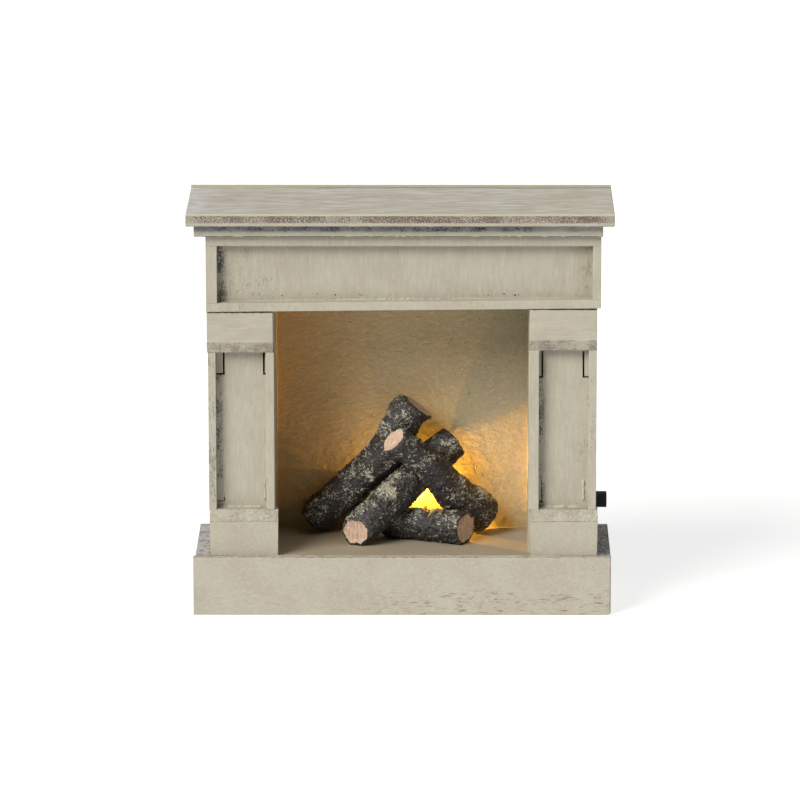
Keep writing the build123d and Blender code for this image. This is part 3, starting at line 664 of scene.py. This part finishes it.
def tinned_metal():
    """Tinned metal with fine scratches."""
    look = Look("tin")
    scratches = look.noise(0.3, 4, 0.7, (0.1, 1, 1))
    tint = look.mix(look.ramp(scratches, 0.45, 0.7, 0.0, 0.3), TIN, TIN_DULL)
    return look.finish(tint, look.ramp(scratches, 0.3, 0.7, 0.25, 0.45), 1.0)


def cell_sleeve(name, body_low, body_high, flip):
    """A cell's plain two-tone sleeve with a metal end, and no lettering."""
    look = Look(name)
    length = body_high - body_low
    split = body_low + length * (0.3 if flip else 0.7)
    side = look.ramp(look.axis("X"), split - 0.1 * MM, split + 0.1 * MM)
    first, second = (SLEEVE_BRASS, SLEEVE_DARK) if flip else (SLEEVE_DARK, SLEEVE_BRASS)
    scuffs = look.noise(1.6, 4, 0.7, (0.2, 1, 1))
    colour = look.mix(side, first, second)
    colour = look.mix(look.ramp(scuffs, 0.6, 0.75, 0.0, 0.4), colour, SLEEVE_SCUFF)
    return look.finish(colour, 0.34, 0.4)


def lit_lens():
    """The lamp's lens: warm clear plastic that glows, hottest at its top."""
    look = Look("lens_lit")
    low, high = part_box("led_lens")
    height = look.ramp(look.axis("Z"), low.z, high.z)
    swirl = look.ramp(look.noise(2.5, 2), 0.3, 0.7, -0.15, 0.15)
    glow = look.mix(look.plus(height, swirl, clamp=True), GLOW_DEEP, GLOW_PALE)
    look.feed(look.shader.inputs["Emission Color"], glow)
    look.shader.inputs["Emission Strength"].default_value = LENS_GLOW
    return look.finish(glow, 0.2)


def floor_paint():
    """Plain pale studio floor."""
    look = Look("floor_pale")
    mottle = look.noise(400, 2)
    colour = look.mix(look.ramp(mottle, 0.3, 0.7), FLOOR_PALE, FLOOR_DULL)
    look.shader.inputs["Emission Color"].default_value = (1.0, 1.0, 1.0, 1.0)
    look.shader.inputs["Emission Strength"].default_value = FLOOR_GLOW
    return look.finish(colour, 0.9)


# ---------- logs


def end_caps(mesh, along):
    """Centre and outward direction of the flat saw cut at each end of a log."""
    caps = []
    for sign in (-1, 1):
        planes = {}
        for face in mesh.polygons:
            if face.normal.dot(along) * sign > CUT_FACING:
                key = tuple(round(part, 2) for part in face.normal)
                planes.setdefault(key, []).append(face)
        cut = max(planes.values(), key=lambda faces: sum(face.area for face in faces))
        area = sum(face.area for face in cut)
        centre = sum((face.center * face.area for face in cut), Vector()) / area
        caps.append((centre, cut[0].normal.normalized()))
    return caps


def long_axis(mesh):
    """Direction from one end of a log to the other, pointing to the right."""
    points = [vert.co for vert in mesh.vertices]
    far_a = max(points, key=lambda point: (point - points[0]).length)
    far_b = max(points, key=lambda point: (point - far_a).length)
    along = (far_b - far_a).normalized()
    return along if along.x > 0 else -along


def skin_tree(mesh):
    """A search tree over a mesh's faces, for casting rays at it."""
    corners = [vert.co for vert in mesh.vertices]
    return BVHTree.FromPolygons(corners, [list(face.vertices) for face in mesh.polygons])


def around_ring(side, up, count):
    """Directions evenly spread round a ring."""
    for step in range(count):
        turn = math.tau * step / count
        yield side * math.cos(turn) + up * math.sin(turn)


def bridge(build, lower, upper, flip=False):
    """A band of faces between two rings of points."""
    for step in range(len(lower)):
        after = (step + 1) % len(lower)
        corners = (lower[step], lower[after], upper[after], upper[step])
        build.faces.new(corners[::-1] if flip else corners)


def section(tree, centre, normal):
    """The log's skin round one section: its middle, its normal, and each ray with its reach."""
    side = normal.cross(SECTION_START).normalized()
    up = side.cross(normal).normalized()
    for _ in range(CENTRING_ROUNDS):
        reach = []
        for ray in around_ring(side, up, LOG_SIDES):
            reach.append((ray, tree.ray_cast(centre, ray, LOG_REACH)[3]))
        known = [(ray, far) for ray, far in reach if far is not None]
        centre = centre + sum((ray * far for ray, far in known), Vector()) / max(len(known), 1)
    usual = sum(far for _, far in known) / len(known)
    return centre, normal, [(ray, usual if far is None else far) for ray, far in reach]


def log_sections(node):
    """Sections of a CAD log, from one sawn end to the other."""
    mesh = nodes[node].data
    tree = skin_tree(mesh)
    (start, out_a), (stop, out_b) = end_caps(mesh, long_axis(mesh))
    count = int((stop - start).length / MM * LOG_RINGS_PER_MM)
    sections = []
    for number in range(count + 1):
        share = number / count
        normal = (-out_a).lerp(out_b, share).normalized()
        inset = END_INSET * (1 if number == 0 else -1 if number == count else 0)
        sections.append(section(tree, start.lerp(stop, share) + normal * inset, normal))
    return sections


def bark_relief(place, around, share, seed):
    """How far the bark stands out at a place: long ridges, plates and crumbs, in millimetres."""
    here = place / MM
    ridged = noise.noise(Vector((math.cos(around) * 2.4, math.sin(around) * 2.4, share * 5.0 + seed)))
    plates = noise.noise(here * 0.28 + Vector((seed, 0, 0)))
    crust = noise.turbulence(here * 0.62 + Vector((0, seed, 0)), 3, True)
    crumbs = noise.noise(here * 1.9 + Vector((seed, seed, 0)))
    pits = max(0.0, noise.noise(here * 0.75 + Vector((0, 0, seed))) - 0.28)
    return 0.45 * ridged + 0.5 * plates + 0.8 * (crust - 0.3) + 0.2 * crumbs - 1.6 * pits


def bark_ring(build, layers, log_section, share, tuck, seed, knots):
    """One ring of bark points over a section, drawn in by tuck near the sawn ends."""
    sawn, fold, moss = layers
    centre, _, reach = log_section
    ring = []
    for step, (ray, far) in enumerate(reach):
        skin = centre + ray * far
        rise = bark_relief(skin, math.tau * step / LOG_SIDES, share, seed)
        pale, mossy = 0.0, 0.0
        for knot, knot_size, knot_rise, kind in knots:
            gap = (skin / MM - Vector(knot)).length / knot_size
            swell = math.exp(-(gap**2) * 1.2)
            rise += knot_rise * swell
            if kind == "cut" and gap < CUT_SHARE:
                pale = 1.0
            if kind == "mossy":
                mossy = max(mossy, swell)
        vert = build.verts.new(centre + ray * (far + (rise - tuck) * MM))
        vert[sawn] = pale
        vert[moss] = mossy
        vert[fold] = max(0.0, min(1.0, 0.5 + rise * 0.5))
        ring.append(vert)
    return ring


def sawn_end(build, layers, ring, centre, outward, pale, seed, flip):
    """Closes a log's end with a saw cut: a rim of bark, then rough wood where pale."""
    sawn, fold, _ = layers
    outline = ring
    for shrink, rise in SAWN_RINGS:
        inner = []
        for vert in ring:
            spot = centre + (vert.co - centre) * shrink
            grit = noise.noise(spot / MM * 0.9 + Vector((seed, 0, 0))) * 0.16
            new = build.verts.new(spot + outward * (rise + grit) * MM)
            new[sawn] = 1.0 if pale and shrink < SAWN_RIM else 0.0
            new[fold] = 0.5
            inner.append(new)
        bridge(build, outline, inner, flip)
        outline = inner
    hub = build.verts.new(centre - outward * SAWN_DEPTH)
    hub[sawn] = 1.0 if pale else 0.0
    for step in range(LOG_SIDES):
        corners = (outline[step], outline[(step + 1) % LOG_SIDES], hub)
        build.faces.new(corners[::-1] if flip else corners)


def make_log(node, seed, material, knots, pale_ends=(True, True)):
    """A detailed twig that fills its CAD solid: bark relief, knots and sawn ends."""
    sections = log_sections(node)
    first, last = sections[0], sections[-1]
    length = (last[0] - first[0]).length / MM
    build = bmesh.new()
    layers = [build.verts.layers.float.new(name) for name in BARK_LAYERS]
    rings = []
    for number, log_section in enumerate(sections):
        share = number / (len(sections) - 1)
        tuck = END_TUCK * math.exp(-min(share, 1 - share) * length / END_TUCK_LENGTH)
        rings.append(bark_ring(build, layers, log_section, share, tuck, seed, knots))
    for lower, upper in zip(rings, rings[1:]):
        bridge(build, lower, upper)
    sawn_end(build, layers, rings[0], first[0], -first[1], pale_ends[0], seed, True)
    sawn_end(build, layers, rings[-1], last[0], last[1], pale_ends[1], seed, False)
    smooth_all(build)
    twig = piece_from(build, f"{node}_twig", material)
    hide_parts(node)


def smooth_all(build):
    """Turns every face outwards and shades it smooth."""
    bmesh.ops.recalc_face_normals(build, faces=build.faces)
    for face in build.faces:
        face.smooth = True


def new_object(name, content):
    """Puts a mesh, camera or light into the scene; returns its object."""
    made = bpy.data.objects.new(name, content)
    bpy.context.scene.collection.objects.link(made)
    return made


def piece_from(build, name, material):
    """Turns a bmesh into a piece that belongs to the mantel."""
    mesh = bpy.data.meshes.new(name)
    build.to_mesh(mesh)
    build.free()
    mesh.materials.append(material)
    piece = new_object(name, mesh)
    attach(piece, "mantel")
    return piece


# ---------- lumps of old paint


def slice_up(build, axis, start, stop):
    """Cuts the mesh into thin slices between two places along an axis."""
    normal = Vector()
    normal[axis] = 1.0
    for number in range(1, round((stop - start) / CRUST_STEP)):
        place = normal * (start + number * CRUST_STEP)
        parts = build.verts[:] + build.edges[:] + build.faces[:]
        bmesh.ops.bisect_plane(build, geom=parts, dist=JOIN, plane_co=place, plane_no=normal)


def crusted(node, bottom, top, seed, lump_mm, material):
    """A painted block with lumps of old paint between two heights; it stands for a CAD node."""
    low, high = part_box(node)
    build = bmesh.new()
    build.from_mesh(nodes[node].data)
    bmesh.ops.remove_doubles(build, verts=build.verts, dist=JOIN)
    slice_up(build, 2, bottom, top)
    slice_up(build, 1, low.y, high.y)
    slice_up(build, 0, low.x, high.x)
    build.normal_update()
    moves = []
    for vert in build.verts:
        inside = min(vert.co.z - bottom, top - vert.co.z) / MM
        if inside > 0:
            here = vert.co / MM + Vector((seed, 0, 0))
            lumps = 0.5 + noise.noise(here * 0.5) + 0.7 * noise.noise(here * 1.2)
            blobs = 2.5 * max(0.0, noise.noise(here * 0.35 + Vector((0, seed, 0))) - 0.2)
            fade = min(1.0, inside / 0.5)
            moves.append((vert, vert.normal * fade * (lumps + blobs) * lump_mm * MM))
    for vert, move in moves:
        vert.co += move
    for face in build.faces:
        face.smooth = bottom < face.calc_center_median().z < top
    bmesh.ops.triangulate(build, faces=build.faces)
    piece = piece_from(build, f"{node}_crusted", material)
    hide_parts(node)


def paint_bead(name, start, stop, radius_mm, seed, material):
    """A ridge of dried paint of uneven thickness along an inside corner or a joint."""
    along = (stop - start).normalized()
    aside = Vector((0, 1, 0)) if along.z > 0.5 else Vector((0, 0, 1))
    out = along.cross(aside).normalized()
    up = out.cross(along)
    count = round((stop - start).length / BEAD_STEP)
    build = bmesh.new()
    rings = []
    for number in range(count + 1):
        share = number / count
        centre = start.lerp(stop, share)
        here = centre / MM + Vector((0, seed, 0))
        swell = 0.75 + 0.6 * noise.noise(here * 0.22) + 0.55 * noise.noise(here * 0.8)
        taper = min(1.0, 0.1 + 6 * share, 0.1 + 6 * (1 - share))
        radius = max(0.12, swell) * taper * radius_mm * MM
        spots = [centre + ray * radius for ray in around_ring(out, up, BEAD_SIDES)]
        rings.append([build.verts.new(spot) for spot in spots])
    for lower, upper in zip(rings, rings[1:]):
        bridge(build, lower, upper)
    build.faces.new(rings[0])
    build.faces.new(rings[-1])
    smooth_all(build)
    piece_from(build, name, material)


def paint_bubble(name, centre, material):
    """A burst bubble in the paint: a thin raised ring on a front face."""
    front = Vector((0, -1, 0))
    build = bmesh.new()
    rings = []
    for spoke in around_ring(Vector((1, 0, 0)), Vector((0, 0, 1)), BUBBLE_STEPS):
        middle = centre + spoke * BUBBLE_RING
        spots = [middle + ray * BUBBLE_THICK for ray in around_ring(spoke, front, BUBBLE_SIDES)]
        rings.append([build.verts.new(spot) for spot in spots])
    for ring, beyond in zip(rings, rings[1:] + rings[:1]):
        bridge(build, ring, beyond)
    smooth_all(build)
    piece_from(build, name, material)


def top_at(node, x, y):
    """Height of a CAD node's upper side above a spot."""
    downwards = Vector((0, 0, -1))
    return skin_tree(nodes[node].data).ray_cast(Vector((x, y, cad_high.z)), downwards)[0].z


def upright_joint(x, y):
    """Both ends of the joint beside a column wall's lower tab."""
    return Vector((x, y, TAB_SPAN[0])), Vector((x, y, TAB_SPAN[1]))


def fill_recess_corners(bead):
    """Ridges of paint along the foot of the frieze's recess and of both column panels."""
    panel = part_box("frieze_panel")[0]
    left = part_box("frieze_left_strip")[1].x
    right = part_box("frieze_right_strip")[0].x
    inset = 1.5 * MM
    start = Vector((left + inset, panel.y, top_at("frieze_low_strip", left + inset, panel.y - inset)))
    stop = Vector((right - inset, panel.y, top_at("frieze_low_strip", right - inset, panel.y - inset)))
    paint_bead("frieze_paint_bead", start, stop, 0.62, 3.0, bead)
    for side, seed in (("left", 5.0), ("right", 6.0)):
        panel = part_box(f"{side}_panel")[0]
        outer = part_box(f"{side}_outer_strip")
        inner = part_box(f"{side}_inner_strip")
        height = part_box(f"{side}_plinth")[1].z
        start = Vector((min(outer[1].x, inner[1].x) + 0.4 * MM, panel.y, height))
        stop = Vector((max(outer[0].x, inner[0].x) - 0.4 * MM, panel.y, height))
        paint_bead(f"{side}_paint_bead", start, stop, 0.9, seed, bead)


def fill_tab_joints(bead):
    """Ridges of paint beside and below the column walls' lower tabs."""
    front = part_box("left_panel")[0].y
    left_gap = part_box("left_outer_wall")[1].x + TAB_GAP / 2
    start, stop = upright_joint(left_gap, front)
    paint_bead("left_filled_joint", start + Vector((0, 0, TAB_OPEN)), stop, 0.3, 9.0, bead)
    inner_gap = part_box("left_inner_wall")[0].x - TAB_GAP / 2
    paint_bead("left_filled_inner_joint", *upright_joint(inner_gap, front), 0.55, 11.0, bead)
    right_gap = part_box("right_outer_wall")[0].x - TAB_GAP / 2
    start, stop = upright_joint(right_gap, front)
    paint_bead("right_filled_joint", start, stop, 0.75, 12.0, bead)
    right_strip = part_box("right_outer_strip")[0].x
    paint_bead("right_filled_foot", start, Vector((right_strip, front, start.z)), 0.35, 13.0, bead)


def add_old_paint():
    """Beads in the recesses, beside the tabs and along the hearth's edge, and one bubble."""
    bead = dried_paint()
    fill_recess_corners(bead)
    fill_tab_joints(bead)
    low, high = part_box("hearth_board")
    start = Vector((low.x + 1.0 * MM, low.y, high.z - 0.1 * MM))
    stop = Vector((high.x - 1.0 * MM, low.y, high.z - 0.1 * MM))
    paint_bead("hearth_paint_bead", start, stop, 0.3, 8.0, bead)
    strip_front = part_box("left_inner_strip")[0].y
    paint_bubble("left_paint_bubble", Vector((BUBBLE_X, strip_front, BUBBLE_Z)), bead)


# ---------- dressing the CAD pieces


def dress(names, material):
    """Gives CAD nodes one material in place of their own."""
    for name in names:
        slots = nodes[name].material_slots
        if not slots:
            nodes[name].data.materials.append(material)
        for slot in nodes[name].material_slots:
            slot.material = material


def dress_boards():
    """Paint for every board outside the columns, bare wood for the back and the bottom."""
    dress(["shelf_board"], painted_shelf())
    dress(["moulding_board"], painted_moulding())
    dress(["frieze_panel"], painted_frieze())
    scratched_left = (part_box("frieze_panel")[0].x, 12 * MM, 34 * MM)
    strip_paint = painted("frieze_strip_paint", (1, 1, 0.3), 1.2, 3.0, scratched_left, 0.1)
    dress(["frieze_top_strip", "frieze_low_strip"], strip_paint)
    dress(["frieze_left_strip", "frieze_right_strip"], painted("frieze_end_paint", UPRIGHT, 1.2, 5.0))
    dress(["frieze_left_end", "frieze_right_end"], painted("frieze_side_paint", LEVEL, 1.0, 7.0))
    dress(["base_front"], painted_base_board())
    dress(["base_left_end", "base_right_end"], painted("base_side_paint", LEVEL, 1.0, 9.0))
    dress(["hearth_board"], painted_hearth())
    dress(["firebox_back"], painted_fire_wall("fire_back_paint", (0.5, 1, 0.8), 2.0))
    dress(["frieze_soffit"], painted_fire_wall("soffit_paint", (0.4, 1, 1), 4.0))
    side_paint = painted_fire_wall("fire_side_paint", (1, 1, 0.4), 6.0, 0.0)
    dress(["left_inner_wall", "right_inner_wall"], side_paint)
    dress(["back_panel", "base_bottom"], bare_back())


def dress_column(side, seed):
    """Paint for one column, with lumps of old paint on its capital and its plinth."""
    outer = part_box(f"{side}_outer_strip")
    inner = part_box(f"{side}_inner_strip")
    outer_x = (outer[0].x + outer[1].x) / 2
    left_edge = min(outer[1].x, inner[1].x)
    node = f"{side}_panel"
    marks = PANEL_MARKS[side]
    dress([node], painted_column_panel(f"{node}_paint", seed, outer_x, left_edge, marks))
    dress([f"{side}_outer_wall"], painted(f"{side}_side_paint", UPRIGHT, 1.0, seed + 1))
    wear = (outer_x, 2 * MM, 1 * MM)
    strip_paint = painted(f"{side}_strip_paint", UPRIGHT, 1.0, seed + 2, wear, STRIP_WEAR[side])
    dress([f"{side}_outer_strip", f"{side}_inner_strip"], strip_paint)
    node = f"{side}_capital"
    low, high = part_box(node)
    # the capital's foot line is its joint and also painted shade under the capital's overhang
    bevel, joint_and_shade_lines = low.z + BEVEL_HALF, (low.z, high.z)
    paint = painted_bevel(f"{node}_paint", bevel, WASH_BROWN, joint_and_shade_lines, LEVEL, seed, 0.42)
    crusted(node, low.z, low.z + CAPITAL_CRUST, seed, 0.07, paint)
    node = f"{side}_plinth"
    low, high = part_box(node)
    bevel, joint_and_shade_lines = high.z - BEVEL_HALF, (low.z,)
    # the plinth bevel's dark specks: rubbed paint and painted shade in the pits between lumps of old
    # paint
    paint = painted_bevel(f"{node}_paint", bevel, PLINTH_RUBBED_AND_SHADE, joint_and_shade_lines, (1, 1, 1), seed, 0.3, 1.4)
    crusted(node, high.z - PLINTH_CRUST, high.z, seed + 3, 0.16, paint)


def dress_workings():
    """Plastic, metal and sleeves for the switch, the lamp, the wires and the battery box."""
    black = moulded("black_moulding", BLACK_PLASTIC, 0.45)
    knob = moulded("knob_moulding", KNOB_BLACK, 0.25, 0.5)
    dress(["led_holder", "switch_body", "battery_box", "battery_cover"], black)
    knob.node_tree.nodes["Principled BSDF"].inputs["Specular IOR Level"].default_value = KNOB_SHEEN
    dress(["switch_knob"], knob)
    dress(["led_leads", "switch_terminals", "battery_springs", "battery_contacts"], tinned_metal())
    dress(["wire_box_to_switch", "wire_switch_to_lamp"], moulded("red_sleeve", WIRE_RED, 0.35))
    dress(["wire_lamp_to_box"], moulded("black_sleeve", WIRE_BLACK, 0.35))
    for number in (1, 2):
        node = f"battery_cell_{number}"
        low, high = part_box(node)
        dress([node], cell_sleeve(f"cell_{number}_sleeve", low.x, high.x, number == 2))
    dress(["led_lens"], lit_lens())


def make_logs():
    """The four twigs; each knot is its place, its size and rise in millimetres, and its kind."""
    rough_bark = bark()
    make_log("log_left", 1.0, rough_bark, [
        ((-8.7, 6.0, 67.3), 4.5, 1.0, "bulge"),
        ((1.6, 3.0, 68.8), 4.5, 0.5, "mossy"),
        ((-14.0, 7.0, 47.0), 4.5, 0.3, "mossy"),
        ((-26.0, 9.0, 30.0), 4.0, 0.6, "bulge"),
    ], (False, True))
    make_log("log_front", 2.0, rough_bark, [
        ((-6.8, -1.0, 43.0), 4.0, 0.7, "mossy"),
        ((10.0, 4.0, 49.0), 4.0, 0.6, "bulge"),
    ], (True, False))
    make_log("log_right", 3.0, rough_bark, [
        ((25.4, 4.0, 46.0), 2.2, 1.6, "cut"),
        ((32.5, 8.0, 40.0), 5.0, 1.3, "mossy"),
        ((4.0, -6.0, 52.0), 4.0, 0.3, "mossy"),
        ((20.0, -1.0, 40.0), 4.0, 0.4, "mossy"),
    ])
    make_log("log_low", 4.0, rough_bark, [((8.0, -2.0, 32.0), 4.0, 0.4, "bulge")], (False, True))


# ---------- camera, floor and light


def place_camera():
    """A long lens, a little to the right of centre and looking slightly down."""
    aim = Vector((CAMERA_AIM_X, 0.0, (cad_high.z + cad_low.z) / 2))
    azimuth, elevation, roll = (math.radians(angle) for angle in CAMERA_ANGLES)
    away = Vector((
        math.sin(azimuth) * math.cos(elevation),
        -math.cos(azimuth) * math.cos(elevation),
        math.sin(elevation),
    ))
    lens = bpy.data.cameras.new("camera")
    lens.sensor_width = 36.0
    lens.lens = CAMERA_LENS
    lens.clip_start = 0.05
    camera = new_object("camera", lens)
    camera.location = aim + away * CAMERA_DISTANCE
    turn = (-away).to_track_quat("-Z", "Y").to_matrix()
    camera.rotation_euler = (turn @ Euler((0, 0, roll)).to_matrix()).to_euler()
    bpy.context.scene.camera = camera


def place_floor():
    """A wide pale floor just under the mantel."""
    mesh = bpy.data.meshes.new("floor")
    corners = [(-1, -1), (1, -1), (1, 1), (-1, 1)]
    mesh.from_pydata([(x * FLOOR_HALF, y * FLOOR_HALF, 0) for x, y in corners], [], [(0, 1, 2, 3)])
    floor = new_object("floor", mesh)
    floor.location.z = cad_low.z - FLOOR_GAP
    mesh.materials.append(floor_paint())


def place_light(name, light, towards):
    """Puts a light into the scene, shining towards one side; returns its object."""
    holder = new_object(name, light)
    holder.rotation_euler = Vector(towards).to_track_quat("-Z", "Y").to_euler()
    return holder


def place_sun(name, energy, spread, towards, colour=(1.0, 1.0, 1.0)):
    """Broad light from far away; spread in degrees softens its shadows."""
    sun = bpy.data.lights.new(name, "SUN")
    sun.energy = energy
    sun.angle = math.radians(spread)
    sun.color = colour
    place_light(name, sun, towards)


def place_lamp(name, place, towards, spread, power):
    """A small warm lamp whose light thins out gently, as it does in a smoky box."""
    lamp = bpy.data.lights.new(name, "SPOT")
    lamp.energy = power
    lamp.spot_size = math.radians(spread)
    lamp.spot_blend = 0.03
    lamp.shadow_soft_size = LAMP_SIZE
    lamp.color = LAMP_COLOUR
    lamp.use_nodes = True
    tree = lamp.node_tree
    falloff = tree.nodes.new("ShaderNodeLightFalloff")
    falloff.inputs["Strength"].default_value = 1 / LAMP_REACH
    emission = next(node for node in tree.nodes if node.type == "EMISSION")
    tree.links.new(falloff.outputs["Linear"], emission.inputs["Strength"])
    place_light(name, lamp, towards).location = place


def place_room():
    """A pale room all round, and soft daylight from the left, the front and above."""
    scene = bpy.context.scene
    scene.view_settings.view_transform = "Standard"
    world = bpy.data.worlds.new("room")
    world.use_nodes = True
    background = world.node_tree.nodes["Background"]
    background.inputs["Color"].default_value = ROOM_COLOUR
    background.inputs["Strength"].default_value = ROOM_GLOW
    scene.world = world
    place_sun("key", 4.1, 34, (0.74, 0.77, -0.78), (1.0, 0.975, 0.94))
    place_sun("overhead", 0.95, 40, (-0.5, 0.12, -0.85))


def place_glow():
    """The light of the lens: lamps round it and one behind the left log."""
    low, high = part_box("led_lens")
    above_lens = Vector(((low.x + high.x) / 2, (low.y + high.y) / 2 + 1.2 * MM, high.z + 1.8 * MM))
    behind_log = Vector((low.x - 7.0 * MM, high.y - 0.2 * MM, high.z + 6.0 * MM))
    below_lens = Vector((high.x + 5.0 * MM, low.y - 2.0 * MM, low.z - 3.0 * MM))
    beside_lens = Vector((high.x + 2.6 * MM, high.y - 1.6 * MM, high.z - 3.0 * MM))
    place_lamp("lamp_up", above_lens, (0, 0, 1), 172, 0.08)
    place_lamp("lamp_left", behind_log, (-1.0, 0.1, 0.55), 100, 0.032)
    place_lamp("lamp_right", above_lens, (0.9, -0.2, -0.3), 130, 0.05)
    place_lamp("lamp_low", below_lens, (1.0, -0.45, -0.4), 110, 0.07)
    place_lamp("lamp_near", beside_lens, (0.1, 1.0, -0.1), 172, 0.112)


dress_boards()
dress_column("left", 2.0)
dress_column("right", 7.0)
dress_workings()
add_old_paint()
make_logs()
place_camera()
place_floor()
place_room()
place_glow()
